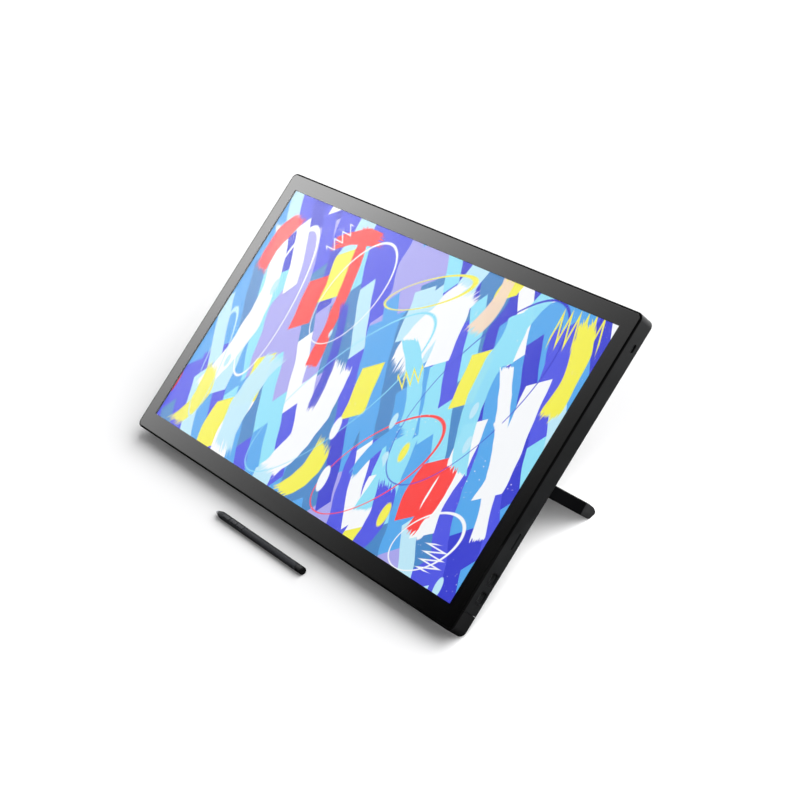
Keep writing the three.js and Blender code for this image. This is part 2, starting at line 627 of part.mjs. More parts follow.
function buildLeg(display, side, name) {
  const hinge = new THREE.Group();
  hinge.position.set(0, LEG.pinV, LEG.pinW);
  const leg = new THREE.Group();
  leg.rotation.x = LEG.open;
  hinge.add(leg);
  display.add(hinge);

  const span = (a, b) => [side * a, side * b];
  const notch = [LEG_MIDDLE - KNUCKLE.width / 2, LEG_MIDDLE + KNUCKLE.width / 2];
  const tongue = (grow) => {
    const { from, tongue: half, tongueEnd, tongueInset } = LEG_FOOT;
    const u = span(LEG.inner + tongueInset - grow, LEG.outer - tongueInset + grow);
    return box(u, [-from + 1, -tongueEnd - grow], [-half - grow, half + grow]);
  };
  const bore = extrude(circle(0, 0, LEG.pinR + GAP), "u", ...span(LEG.inner - 1, LEG.outer - 2.8));
  const body = cut(
    join(
      extrude(legProfile(LEG_FOOT.from, LEG.r), "u", ...span(LEG.inner, LEG.outer), { segments: 12 }),
      tongue(0),
    ),
    bore,
    box(span(notch[0] - GAP, notch[1] + GAP), [-KNUCKLE.notch, 20], [-20, 20]),
  );
  piece(leg, `leg_${name}`, body, LOOK.housing);

  const { proud, side: sideProud } = LEG_FOOT;
  const foot = cut(
    extrude(footProfile(LEG.r + proud), "u",
      ...span(LEG.inner - sideProud, LEG.outer + sideProud), { segments: 8 }),
    tongue(GAP),
  );
  piece(leg, `leg_foot_${name}`, foot, LOOK.rubber);

  const pin = extrude(circle(0, 0, LEG.pinR), "u", ...span(LEG.inner + 0.4, LEG.outer - 3.2));
  piece(hinge, `leg_pin_${name}`, pin, LOOK.steel);

  const top = CEILING - GAP - LEG.pinW;
  const bracket = cut(
    join(
      extrude(circle(0, 0, KNUCKLE.half), "u", ...span(...notch)),
      box(span(...notch), [-KNUCKLE.half, KNUCKLE.half], [0, top]),
    ),
    extrude(circle(0, 0, LEG.pinR + GAP), "u", ...span(notch[0] - 1, notch[1] + 1)),
  );
  piece(hinge, `leg_bracket_${name}`, bracket, LOOK.steel);
}

// ---------------------------------------------------------------------------------------------
// Pen, drawn with its tip at the origin and its axis along +X
// ---------------------------------------------------------------------------------------------

function buildPen() {
  const pen = new THREE.Group();
  pen.position.set(PEN.tipX, -PEN.ahead, PEN.r);
  const { r, wall, length } = PEN;
  const [coneFrom, coneTo] = PEN_TIP.cone;
  const [coneR0, coneR1] = PEN_TIP.coneR;
  const inner = r - wall;
  const { nibR, nibLong, collar, noseEnd: shoulder } = PEN_TIP;

  const nib = [[0, 0], [0.15, 0.45], [0.6, 0.75], [1.2, nibR], [nibLong, nibR], [nibLong, 0]];
  piece(pen, "pen_nib", turned(nib, 16), LOOK.penTip);

  const bore = nibR + GAP;
  const cone = turned([[coneFrom, bore], [coneFrom, coneR0], [coneTo, coneR1], [coneTo, coneR1 - 0.6],
    [coneTo + collar, coneR1 - 0.6], [coneTo + collar, bore], [coneFrom, bore]]);
  piece(pen, "pen_tip_cone", cone, LOOK.penTip);

  const switchEnd = PEN_SWITCH.start + 3 * PEN_SWITCH.long + 2 * PEN_SWITCH.gap;
  const slotHalf = PEN_SWITCH.half + GAP;
  const capAt = length - PEN_CAP;
  const barrel = cut(
    turned([[coneTo + 0.3, coneR1 - 0.2], [coneTo + 0.3, coneR1 + 0.05], [shoulder - 1.2, r - 0.45],
      [shoulder + 0.6, r - 0.05], [shoulder + 2, r], [capAt - GAP, r], [capAt - GAP, inner],
      [shoulder + 0.6, inner], [shoulder + 0.6, coneR1 - 0.2], [coneTo + 0.3, coneR1 - 0.2]], 36),
    box([PEN_SWITCH.start - GAP, switchEnd + GAP], [-slotHalf, slotHalf], [1, r + THROUGH]),
  );
  piece(pen, "pen_barrel", barrel, LOOK.penDark);

  const top = r + PEN_SWITCH.crown;
  const { start } = PEN_SWITCH;
  const crown = turned([[start, 0], [start, top], [switchEnd, top], [switchEnd, 0]], 48);
  const pitch = PEN_SWITCH.long + PEN_SWITCH.gap;
  ["front", "middle", "rear"].forEach((where, i) => {
    const from = PEN_SWITCH.start + i * pitch;
    const key = box([from, from + PEN_SWITCH.long], [-PEN_SWITCH.half, PEN_SWITCH.half], [2.3, r + 2]);
    piece(pen, `pen_switch_${where}`, key.intersect(crown), LOOK.penDark);
  });

  const board = box(PEN_BOARD.x, [-PEN_BOARD.half, PEN_BOARD.half], PEN_BOARD.z);
  piece(pen, "pen_core_board", board, LOOK.board);
  const coilStart = shoulder + 1;
  const { end: coilEnd, r: coilR, flat } = PEN_COIL;
  const coil = turned([[coilStart, bore], [coilStart, coilR], [coilEnd, coilR], [coilEnd, bore],
    [coilStart, bore]], 20);
  piece(pen, "pen_coil", cut(coil, box([0, length], [-r, r], [flat, r])), LOOK.copper);
  const sensor = box(PEN_SENSOR.x, ...[1, 2].map(() => [-PEN_SENSOR.half, PEN_SENSOR.half]));
  piece(pen, "pen_pressure_sensor", sensor, LOOK.chip);

  const cap = [[capAt - 6, 0], [capAt - 6, inner - GAP], [capAt, inner - GAP], [capAt, r],
    [length - 1.3, r], [length - 0.6, r - 0.2], [length - 0.2, r - 0.6], [length, r - 1.3], [length, 0]];
  piece(pen, "pen_tail_cap", turned(cap, 36), LOOK.gloss);
  return pen;
}

// ---------------------------------------------------------------------------------------------
// The whole tablet
// ---------------------------------------------------------------------------------------------

function buildDisplay() {
  const display = new THREE.Group();
  display.rotation.x = TILT;
  display.position.set(0, -EDGE_MID, -DESK);
  buildScreen(display);
  buildChassis(display);
  buildHousing(display);
  buildFootStrip(display);
  buildFasteners(display);
  buildPorts(display);
  buildElectronics(display);
  buildPowerButton(display);
  buildLeg(display, 1, "right");
  buildLeg(display, -1, "left");
  return display;
}

const tablet = new THREE.Group();
tablet.add(buildDisplay(), buildPen());
export default tablet;
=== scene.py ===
"""The looks of a pen drawing tablet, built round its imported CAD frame, for Blender 4.5.

Lengths are millimetres, apart from those of the camera, the lights and the floor, which are metres. The
display is drawn in its own frame, u to the right, v up along the glass and w out of the glass. The pen has
another, with the nib's point at the origin and its axis along +X, and each leg a third. All are worked out
from the CAD frame, and add_piece() turns the result into metres.
"""

import json
import math

import bmesh
import bpy
from mathutils import Matrix, Vector

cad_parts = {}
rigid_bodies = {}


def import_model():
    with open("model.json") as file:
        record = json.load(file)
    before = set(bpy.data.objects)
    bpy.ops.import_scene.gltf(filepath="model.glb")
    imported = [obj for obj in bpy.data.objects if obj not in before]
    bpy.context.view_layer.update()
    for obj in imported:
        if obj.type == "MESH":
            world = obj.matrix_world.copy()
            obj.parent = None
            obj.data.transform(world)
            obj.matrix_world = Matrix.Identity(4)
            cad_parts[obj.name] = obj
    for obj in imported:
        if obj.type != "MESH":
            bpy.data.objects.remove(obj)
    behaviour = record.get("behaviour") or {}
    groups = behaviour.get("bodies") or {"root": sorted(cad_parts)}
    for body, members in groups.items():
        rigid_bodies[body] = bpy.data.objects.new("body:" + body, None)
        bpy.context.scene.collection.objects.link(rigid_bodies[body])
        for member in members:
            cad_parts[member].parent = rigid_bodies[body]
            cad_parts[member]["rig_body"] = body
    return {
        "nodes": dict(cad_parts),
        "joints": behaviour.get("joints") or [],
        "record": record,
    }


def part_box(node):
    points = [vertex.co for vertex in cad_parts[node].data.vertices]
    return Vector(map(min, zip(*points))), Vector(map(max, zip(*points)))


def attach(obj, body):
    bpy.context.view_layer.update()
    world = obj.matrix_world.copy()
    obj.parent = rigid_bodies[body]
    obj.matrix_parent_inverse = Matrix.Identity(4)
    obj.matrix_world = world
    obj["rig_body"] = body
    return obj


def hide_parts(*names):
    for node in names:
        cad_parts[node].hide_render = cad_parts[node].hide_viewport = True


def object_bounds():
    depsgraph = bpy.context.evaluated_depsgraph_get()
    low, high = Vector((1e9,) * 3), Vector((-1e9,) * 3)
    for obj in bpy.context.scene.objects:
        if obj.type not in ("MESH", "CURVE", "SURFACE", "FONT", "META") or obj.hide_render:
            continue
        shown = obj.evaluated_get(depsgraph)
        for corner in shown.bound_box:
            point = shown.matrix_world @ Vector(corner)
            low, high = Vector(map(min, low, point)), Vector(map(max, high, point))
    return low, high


MM = 0.001
TURN = 2 * math.pi

# ---- Driving values ----

# Camera, as an orbit round a point over the desk
CAMERA_AZIMUTH = 65.494
CAMERA_ELEVATION = 36.690
CAMERA_ROLL = -24.700
CAMERA_DISTANCE = 1.80869
CAMERA_TARGET = Vector((0.03055, 0.15602, 0.05545))
CAMERA_LENS = 80.12
CAMERA_SENSOR = 36.0

GAP = 0.3  # between neighbouring pieces

# Round faces
CURVE_STEPS = 5  # facets of a rounded rim or corner
LATHE_STEPS = {"barrel": 96, "cap": 96, "cone": 72, "nib": 48, "screw": 40}
EDGE_STEPS = 2  # facets of the rounded edge that a CAD node gets

# Glass
GLASS_EDGE = 0.12  # rounding of the glass's front rim
GLASS_BACK_EDGE = 0.15
GLASS_CORNER_STEPS = 20
GLASS_ROUGHNESS = 0.09
PICTURE_HALF = (263.52, 148.23)  # the lit picture, half its width and half its height

# Screws. Those given as shares are shares of the head's radius.
SCREW_DOME = ((0.0, 0.0), (0.0, 0.55), (0.1, 0.8), (0.35, 0.96), (0.6, 1.0))  # (depth, share)
SCREW_HEAD = 1.2  # from the head's top to its seat
SCREW_SHANK = 0.45  # share
SCREW_CROSS = (0.6, 0.14)  # half length and half width of the recess, as shares
SCREW_CROSS_DEPTH = 0.9

# Legs and feet
LEG_RIM = (1.5, 1.5)  # rounding of a leg's two sides
LEG_CORNER = 0.5
LEG_OVERLAP = 4  # how far leg and foot are drawn past their junction before they are cut
FOOT_CORNER = 2.2
KNUCKLE_REACH = 7.0  # depth of the notch that holds the hinge bracket
REAR_FOOT_RIM = (0.9, 0.1)
REAR_FOOT_CORNER = 0.3
FAR = 120  # a cutting tool's reach where it only has to be bigger than the leg

# Pen
PEN_WALL = 1.0
PEN_EDGE = 0.15  # chamfer at the ends of the barrel and the cap
NOSE_START = 2.8  # the barrel's radius at its front end
NOSE = ((2.5, 0.42), (4.3, 0.07), (5.7, 0.0))  # (from the barrel's front end, radius missing there)
NOSE_RING = 0.25  # width of the flat ring round its front end
NOSE_WALL = 4.3  # from the barrel's front end to its hollow
SWITCH_SLOT_CORNER = 1.0
SWITCH_SLOT_FLOOR = 1.0  # over the pen frame's origin
TIP_MOUTH = 1.3  # the grey cone's radius at its front end
TIP_BORE = 1.2
TIP_LIP = 0.1  # length of the slope into the bore
TIP_BULGE = (1.4, 0.64)  # (from the cone's front end, radius gained there)
TIP_COLLAR = 2.4  # the part of the grey cone that is hidden in the barrel
TIP_STEP = 0.6  # how much thinner that part is
NIB_POINT = 1.3  # length of the nib's round end
NIB_ANGLES = (0.2, 0.4, 0.7, 1.0, 1.3, TURN / 4)
NIB_EDGE = 0.2
CAP_ROUND = 1.3
CAP_DIMPLE = (1.9, 2.1, 0.12)  # where it starts and ends, inwards from the cap's radius, and its depth
KEY_CORNER = 0.7
KEY_RIM = ((0.0, 0.4), (0.03, 0.26), (0.1, 0.13), (0.22, 0.04), (0.4, 0.0))  # (inset, drop)
KEY_TOP = (0.7, 1.1, 1.5, 1.9)  # insets of the loops that shape its top
KEY_SIDES = (14, 4)  # facets along it and across it
KEY_DISH = 0.12
KEY_DISH_REACH = 3.6

# Painted shade on the pen: its colour starts to darken and is darkest at these turns from the eye, 0 facing
# it and 1 edge on
EDGE_SHADE_TURN = (0.35, 0.8)
EDGE_SHADE_DARK = 0.22

# Front rim of the housing: painted shade, near black and without reflection, for the dark gap round the
# glass; it starts and is full at these depths behind the glass's face
LIP_SHADE_DEPTHS = (-1.9, -1.4)

# Edges that the CAD leaves sharp
SHARP_ANGLE = 33  # degrees: facets of a round face meet at less than this
SMOOTH_ANGLE = 40
SEAM_REACH = 0.6  # edges this near the foot strip's seam stay sharp

# ---- The frame, and places worked out from it ----

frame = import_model()
cad_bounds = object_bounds()
nodes = frame["nodes"]


def points_of(node, place):
    """A CAD node's vertices in the millimetres of a display, leg or pen frame."""
    back = place.inverted()
    return [back @ vertex.co for vertex in nodes[node].data.vertices]


def span(node, place):
    """The lowest and highest corners of a CAD node in the millimetres of such a frame."""
    points = points_of(node, place)
    low = Vector(min(p[i] for p in points) for i in range(3))
    high = Vector(max(p[i] for p in points) for i in range(3))
    return low, high


def display_frame():
    """The matrix from display millimetres to the row frame. The VESA pad's axis gives the tilt."""
    pad = next(m for m in frame["record"]["mounts"] if m["name"] == "vesa_pad")
    w = -Vector(pad["axis"]).normalized()
    u = Vector((1, 0, 0))
    v = w.cross(u)
    middle = Vector(pad["pos_m"])
    front = max(w.dot(vertex.co) for vertex in nodes["cover_glass"].data.vertices)
    origin = middle + w * (front - w.dot(middle))
    turn = Matrix((u, v, w)).transposed().to_4x4()
    return Matrix.Translation(origin) @ turn @ Matrix.Scale(MM, 4)


def pen_frame():
    """The matrix from pen millimetres to the row frame, with the nib's point at the origin."""
    low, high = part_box("pen_nib")
    tip = Vector((low.x, (low.y + high.y) / 2, (low.z + high.z) / 2))
    return Matrix.Translation(tip) @ Matrix.Scale(MM, 4)


def leg_frame(side):
    """The matrix from leg millimetres to the row frame, with the hinge pin at the origin.

    Its axes point across the tablet, along the open leg and out of the leg's outer side.
    """
    joint = next(j for j in frame["joints"] if j["name"] == f"{side}_leg_fold")
    opened = -math.radians(joint["range_deg"][0])
    u, v, w = (DISPLAY.col[i].to_3d().normalized() for i in range(3))
    along = -(v * math.cos(opened) + w * math.sin(opened))
    turn = Matrix((u, along, u.cross(along))).transposed().to_4x4()
    return Matrix.Translation(Vector(joint["pos_m"])) @ turn @ Matrix.Scale(MM, 4)


def seam_place():
    """How far up the display the foot strip's front reaches, in display millimetres."""
    points = points_of("foot_strip", DISPLAY)
    front = max(p.z for p in points)
    return max(p.y for p in points if p.z > front - 0.1)


DISPLAY = display_frame()
PEN = pen_frame()
TILT = math.atan2(DISPLAY.col[1].z, DISPLAY.col[1].y)
SEAM = seam_place()
SLOT_OF = {part["node"]: part["material_slot"] for part in frame["record"]["subparts"]}

# ---- Mesh building ----


def shade(piece):
    """Smooth shading between the facets of a round face, and flat faces kept flat."""
    mesh = piece.data
    for polygon in mesh.polygons:
        polygon.use_smooth = True
    mesh.set_sharp_from_angle(angle=math.radians(SMOOTH_ANGLE))
    weighted = piece.modifiers.new("flat_faces", "WEIGHTED_NORMAL")
    weighted.keep_sharp = True
    weighted.weight = 80


def add_object(name, data):
    made = bpy.data.objects.new(name, data)
    bpy.context.scene.collection.objects.link(made)
    return made


def add_piece(node, bm, place, name=None):
    """Turns a bmesh drawn in millimetres into the piece that stands for a CAD node."""
    name = name or node + "_finished"
    bmesh.ops.recalc_face_normals(bm, faces=bm.faces)
    mesh = bpy.data.meshes.new(name)
    bm.transform(place)
    bm.to_mesh(mesh)
    bm.free()
    mesh.materials.append(MATERIALS[SLOT_OF[node]])
    piece = add_object(name, mesh)
    shade(piece)
    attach(piece, nodes[node]["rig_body"])
    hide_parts(node)
    return piece


def rounded_outline(u0, v0, u1, v1, radius, steps):
    """Points round a rectangle with round corners, each of so many facets."""
    points = []
    corners = ((u1 - radius, v1 - radius), (u0 + radius, v1 - radius),
               (u0 + radius, v0 + radius), (u1 - radius, v0 + radius))
    for quarter, (cu, cv) in enumerate(corners):
        for i in range(steps + 1):
            a = (quarter + i / steps) * TURN / 4
            points.append((cu + radius * math.cos(a), cv + radius * math.sin(a)))
    return points


def bridge_loops(bm, loops):
    """Skins a list of vertex loops of equal length, and caps both ends."""
    count = len(loops[0])
    for lower, upper in zip(loops, loops[1:]):
        for i in range(count):
            j = (i + 1) % count
            bm.faces.new((lower[i], lower[j], upper[j], upper[i]))
    bm.faces.new(list(reversed(loops[0])))
    bm.faces.new(loops[-1])


def slab(rect, radius, layers, steps):
    """A rounded rectangle grown through layers of (inset, height), as a closed bmesh."""
    u0, v0, u1, v1 = rect
    bm = bmesh.new()
    loops = []
    for inset, height in layers:
        outline = rounded_outline(u0 + inset, v0 + inset, u1 - inset, v1 - inset,
                                  max(radius - inset, 0.05), steps)
        loops.append([bm.verts.new((u, v, height)) for u, v in outline])
    bridge_loops(bm, loops)
    return bm


def round_rim(radius, height, down=False):
    """Layers of (inset, height) that round a rim by a radius, ending on the flat at that height."""
    side = -1 if down else 1
    layers = []
    for i in range(CURVE_STEPS + 1):
        a = i / CURVE_STEPS * TURN / 4
        layers.append((radius * (1 - math.cos(a)), height - side * radius * (1 - math.sin(a))))
    return layers


def lathe(profile, steps):
    """A profile of (x, radius) turned about the x axis.

    The profile starts and ends on the axis, or ends where it starts.
    """
    bm = bmesh.new()
    angles = [i * TURN / steps for i in range(steps)]
    rings = []
    for x, radius in profile:
        if radius < 1e-6:
            rings.append([bm.verts.new((x, 0, 0))])
        else:
            rings.append([bm.verts.new((x, radius * math.cos(a), radius * math.sin(a))) for a in angles])
    if profile[0] == profile[-1] and len(rings[0]) > 1:
        for vertex in rings[-1]:
            bm.verts.remove(vertex)
        rings[-1] = rings[0]
    for one, two in zip(rings, rings[1:]):
        for i in range(steps):
            j = (i + 1) % steps
            if len(one) == 1:
                bm.faces.new((one[0], two[i], two[j]))
            elif len(two) == 1:
                bm.faces.new((one[i], one[j], two[0]))
            else:
                bm.faces.new((one[i], one[j], two[j], two[i]))
    return bm


def arc(centre, radius, start, end, steps):
    """Points of a circular arc in (x, radius), from one angle to another in degrees."""
    angles = [math.radians(start + (end - start) * i / steps) for i in range(steps + 1)]
    return [(centre[0] + radius * math.cos(a), centre[1] + radius * math.sin(a)) for a in angles]


def flowing(points):
    """A smooth line through points of (x, radius)."""
    padded = [points[0], *points, points[-1]]
    line = []
    for quad in zip(padded, padded[1:], padded[2:], padded[3:]):
        for k in range(CURVE_STEPS):
            s = k / CURVE_STEPS
            line.append(tuple(
                b + 0.5 * s * (c - a + s * (2 * a - 5 * b + 4 * c - d + s * (3 * (b - c) + d - a)))
                for a, b, c, d in zip(*quad)))
    return line + [points[-1]]


def refined(node, edge):
    """A CAD node's own shape with its flat faces made whole and its sharp edges rounded.

    The edges of the seam stay sharp, so that it reads as one dark line.
    """
    source = nodes[node].data
    to_display = DISPLAY.inverted() @ Matrix.Scale(MM, 4)
    bm = bmesh.new()
    verts = [bm.verts.new(vertex.co / MM) for vertex in source.vertices]
    for polygon in source.polygons:
        bm.faces.new([verts[i] for i in polygon.vertices])
    bmesh.ops.remove_doubles(bm, verts=bm.verts, dist=0.002)
    bmesh.ops.dissolve_limit(bm, angle_limit=math.radians(0.6), verts=bm.verts, edges=bm.edges)
    sharp = []
    for line in bm.edges:
        on_seam = all(abs((to_display @ v.co).y - SEAM) < SEAM_REACH for v in line.verts)
        if line.is_manifold and not on_seam and line.calc_face_angle(0) > math.radians(SHARP_ANGLE):
            sharp.append(line)
    bmesh.ops.bevel(bm, geom=sharp, offset=edge, offset_type="OFFSET", segments=EDGE_STEPS,
                    profile=0.5, affect="EDGES", clamp_overlap=True)
    return add_piece(node, bm, Matrix.Scale(MM, 4))


# ---- Shader building ----


def rgb(code):
    """A linear colour from a #RRGGBB code."""
    channels = [int(code[i:i + 2], 16) / 255 for i in (1, 3, 5)]
    linear = [c / 12.92 if c <= 0.04045 else ((c + 0.055) / 1.055) ** 2.4 for c in channels]
    return (*linear, 1.0)


class Tree:
    """A short way to write a node tree: an argument is a number, a colour or another node's output."""

    def __init__(self, tree):
        self.tree = tree

    def node(self, kind, inputs=None, **settings):
        """A node with some settings, and with some inputs by their name or number."""
        made = self.tree.nodes.new(kind)
        for key, value in settings.items():
            setattr(made, key, value)
        for key, value in (inputs or {}).items():
            if isinstance(value, bpy.types.NodeSocket):
                self.tree.links.new(value, made.inputs[key])
            else:
                made.inputs[key].default_value = value
        return made

    def math(self, operation, *values):
        return self.node("ShaderNodeMath", dict(enumerate(values)), operation=operation).outputs[0]

    def vector(self, operation, *values):
        return self.node("ShaderNodeVectorMath", dict(enumerate(values)), operation=operation).outputs[0]

    def scaled(self, point, factors):
        return self.vector("MULTIPLY", point, factors)

    def turned(self, point, angle, axis):
        inputs = {"Vector": point, "Angle": angle}
        return self.node("ShaderNodeVectorRotate", inputs, rotation_type=axis).outputs[0]

    def parts(self, point):
        return self.node("ShaderNodeSeparateXYZ", {0: point}).outputs[:]

    def grey(self, value):
        return self.node("ShaderNodeCombineXYZ", {0: value, 1: value, 2: value}).outputs[0]

    def noise(self, point, scale, detail=2.0, roughness=0.5):
        inputs = {"Vector": point, "Scale": scale, "Detail": detail, "Roughness": roughness}
        return self.node("ShaderNodeTexNoise", inputs).outputs[0]

    def line_noise(self, value):
        """Slow noise along one number."""
        return self.node("ShaderNodeTexNoise", {"W": value, "Scale": 1.0}, noise_dimensions="1D").outputs[0]

    def chance(self, number):
        """A random number from 0 to 1 for each whole number."""
        return self.node("ShaderNodeTexWhiteNoise", {"W": number}, noise_dimensions="1D").outputs["Value"]

    def cells(self, point, scale):
        """The distance to the nearest of some scattered points."""
        return self.node("ShaderNodeTexVoronoi", {"Vector": point, "Scale": scale}).outputs["Distance"]

    def step(self, value, low, high, to_low=0.0, to_high=1.0):
        inputs = {"Value": value, "From Min": low, "From Max": high, "To Min": to_low, "To Max": to_high}
        return self.node("ShaderNodeMapRange", inputs, interpolation_type="SMOOTHSTEP").outputs[0]

    def mix(self, factor, one, two):
        return self.node("ShaderNodeMix", {0: factor, 6: one, 7: two}, data_type="RGBA").outputs[2]

    def millimetres(self):
        """The point on the piece at rest, in millimetres of the row frame."""
        return self.scaled(self.node("ShaderNodeTexCoord").outputs["Object"], (1000, 1000, 1000))

    def on_display(self):
        """The point on the piece at rest, in display millimetres."""
        point = self.node("ShaderNodeTexCoord").outputs["Object"]
        moved = self.vector("SUBTRACT", point, tuple(DISPLAY.translation))
        return self.scaled(self.turned(moved, -TILT, "X_AXIS"), (1000, 1000, 1000))

    def bump(self, height, distance):
        """A relief of so many millimetres."""
        inputs = {"Height": height, "Distance": distance * MM, "Strength": 1.0}
        return self.node("ShaderNodeBump", inputs).outputs[0]

    def surface(self, **inputs):
        """A Principled surface; names are its input names with underscores for spaces."""
        named = {key.replace("_", " "): value for key, value in inputs.items()}
        return self.node("ShaderNodeBsdfPrincipled", named).outputs[0]

    def blend_shaders(self, factor, one, two):
        return self.node("ShaderNodeMixShader", {0: factor, 1: one, 2: two}).outputs[0]

    def finish(self, shader):
        self.node("ShaderNodeOutputMaterial", {"Surface": shader})


def new_material(name):
    material = bpy.data.materials.new(name)
    material.use_nodes = True
    material.node_tree.nodes.clear()
    return material, Tree(material.node_tree)


# ---- Materials ----


def moulded(name, colour, roughness, grain=0.02, pitch=0.45, specular=0.35, painted_lip_shade=False, painted_edge_shade=False):
    """Moulded plastic: a fine spark-eroded grain and slow changes in tone and sheen.

    For the housing, the front rim round the glass can be coloured near black with its reflection taken away:
    painted shade for the dark gap there. For the pen, the colour can darken where the surface turns away
    from the eye: painted shade towards its outline.
    """
    material, t = new_material(name)
    point = t.millimetres()
    cloud = t.noise(point, 0.035, 3.0)
    fine = t.noise(point, 1 / pitch, 3.0, 0.6)
    tone = t.step(cloud, 0.3, 0.7, 0.9, 1.1)
    base = t.scaled(colour[:3], t.grey(tone))
    shine = specular
    if painted_edge_shade:
        # Painted shade: the colour darkens towards the outline, where the surface turns away from the eye.
        facing = t.node("ShaderNodeLayerWeight").outputs["Facing"]
        edge_shade = t.step(facing, *EDGE_SHADE_TURN, 1.0, EDGE_SHADE_DARK)
        base = t.scaled(base, t.grey(edge_shade))
    if painted_lip_shade:
        # Painted shade: near the glass the rim is coloured near black and loses its reflection, standing for
        # the shadow in the gap round the glass.
        _, _, front = t.parts(t.on_display())
        lip = t.step(front, *LIP_SHADE_DEPTHS)
        base = t.mix(lip, base, rgb("#0A0A0A"))
        shine = t.math("MULTIPLY", specular, t.math("SUBTRACT", 1.0, lip))
    sheen = t.step(cloud, 0.3, 0.7, roughness - 0.04, roughness + 0.04)
    rough = t.math("ADD", t.step(fine, 0.2, 0.8, -0.05, 0.05), sheen)
    t.finish(t.surface(Base_Color=base, Roughness=rough, Specular_IOR_Level=shine,
                       Normal=t.bump(fine, grain)))
    return material


def rubber(name, colour, roughness=0.85):
    """Rubber: a soft, dry surface with specks and a faint dusty bloom."""
    material, t = new_material(name)
    point = t.millimetres()
    specks = t.noise(point, 3.5, 4.0, 0.65)
    bloom = t.noise(point, 0.08, 3.0)
    dusty = tuple(min(1.0, c * 1.6 + 0.006) for c in colour[:3]) + (1.0,)
    base = t.mix(t.step(bloom, 0.35, 0.75), colour, dusty)
    t.finish(t.surface(Base_Color=base, Roughness=roughness, Specular_IOR_Level=0.25,
                       Normal=t.bump(specks, 0.03), Sheen_Weight=0.05))
    return material


def metal(name, colour, roughness, grain=(0.02, 1.6, 1.6), relief=0.006):
    """Sheet or turned metal: a drawn grain along one axis, with a few broad scuffs."""
    material, t = new_material(name)
    point = t.millimetres()
    drawn = t.noise(t.scaled(point, grain), 4.0, 4.0, 0.7)
    scuffs = t.noise(point, 0.12, 4.0, 0.6)
    dark = tuple(c * 0.78 for c in colour[:3]) + (1.0,)
    base = t.mix(t.step(scuffs, 0.3, 0.75), colour, dark)
    dull = t.step(scuffs, 0.3, 0.8, roughness, roughness + 0.1)
    rough = t.math("ADD", t.step(drawn, 0.2, 0.8, -0.08, 0.08), dull)
    t.finish(t.surface(Base_Color=base, Metallic=1.0, Roughness=rough, Normal=t.bump(drawn, relief)))
    return material


def circuit_board(name):
    """A green circuit board: solder mask over copper runs, with tinned pads."""
    material, t = new_material(name)
    point = t.millimetres()
    inputs = {"Vector": point, "Scale": 0.42, "Mortar Size": 0.09}
    runs = t.node("ShaderNodeTexBrick", inputs, offset=0.37, squash=1.6).outputs["Fac"]
    is_pad = t.step(t.cells(point, 0.36), 0.30, 0.24)
    mask = t.mix(runs, rgb("#14532F"), rgb("#22794A"))
    base = t.mix(is_pad, mask, rgb("#C9CDD0"))
    t.finish(t.surface(Base_Color=base, Metallic=is_pad, Roughness=0.38, Coat_Weight=0.3,
                       Normal=t.bump(runs, 0.03)))
    return material


def film(name, colour):
    """A milky optical sheet: slightly see-through white with a fine prism pitch."""
    material, t = new_material(name)
    x, _, _ = t.parts(t.millimetres())
    prisms = t.math("PINGPONG", x, 0.25)
    t.finish(t.surface(Base_Color=colour, Roughness=0.35, Transmission_Weight=0.25,
                       Normal=t.bump(prisms, 0.02)))
    return material


def flat_cable(name):
    """An amber flexible cable with copper tracks under the film."""
    material, t = new_material(name)
    x, _, _ = t.parts(t.millimetres())
    track = t.step(t.math("PINGPONG", x, 0.5), 0.2, 0.3)
    base = t.mix(track, rgb("#6E4414"), rgb("#B8782E"))
    t.finish(t.surface(Base_Color=base, Roughness=0.35, Coat_Weight=0.4, Normal=t.bump(track, 0.03)))
    return material


def wound_copper(name):
    """Enamelled copper wire, wound round the pen's axis."""
    material, t = new_material(name)
    x, _, _ = t.parts(t.millimetres())
    turns = t.math("PINGPONG", x, 0.09)
    base = t.mix(t.step(turns, 0.0, 0.09), rgb("#5C2A10"), rgb("#C77B45"))
    t.finish(t.surface(Base_Color=base, Metallic=0.9, Roughness=0.3, Normal=t.bump(turns, 0.08)))
    return material


def outside_picture(t, point):
    """Distance outside the lit picture in display millimetres, negative inside it."""
    u, v, _ = t.parts(point)
    du = t.math("SUBTRACT", t.math("ABSOLUTE", u), PICTURE_HALF[0])
    dv = t.math("SUBTRACT", t.math("ABSOLUTE", v), PICTURE_HALF[1])
    return t.math("MAXIMUM", du, dv)


def cover_glass_material():
    """Etched cover glass: black ink behind it outside the picture, and clear with an etched sheen inside."""
    material, t = new_material("etched_cover_glass")
    point = t.on_display()
    etch = t.noise(point, 2.2, 2.0)
    relief = t.bump(etch, 0.0016)
    sheen = t.node("ShaderNodeBsdfGlossy", {"Roughness": GLASS_ROUGHNESS, "Normal": relief}).outputs[0]
    outside = t.math("SUBTRACT", 1.0, t.node("ShaderNodeNewGeometry").outputs["Backfacing"])
    fresnel = t.math("MULTIPLY", t.node("ShaderNodeFresnel").outputs[0], outside)
    clear = t.node("ShaderNodeBsdfTransparent").outputs[0]
    window = t.blend_shaders(t.math("MULTIPLY", fresnel, 0.45), clear, sheen)
    smudge = t.step(t.noise(point, 0.02, 3.0), 0.3, 0.7, 0.95, 1.05)
    ink = t.surface(Base_Color=rgb("#020202"), Roughness=t.math("MULTIPLY", smudge, GLASS_ROUGHNESS),
                    Specular_IOR_Level=0.5, Normal=relief)
    border = t.step(outside_picture(t, point), -0.15, 0.15)
    t.finish(t.blend_shaders(border, window, ink))
    return material


# The picture on the screen: generic brush strokes, drawn from here down by code alone.

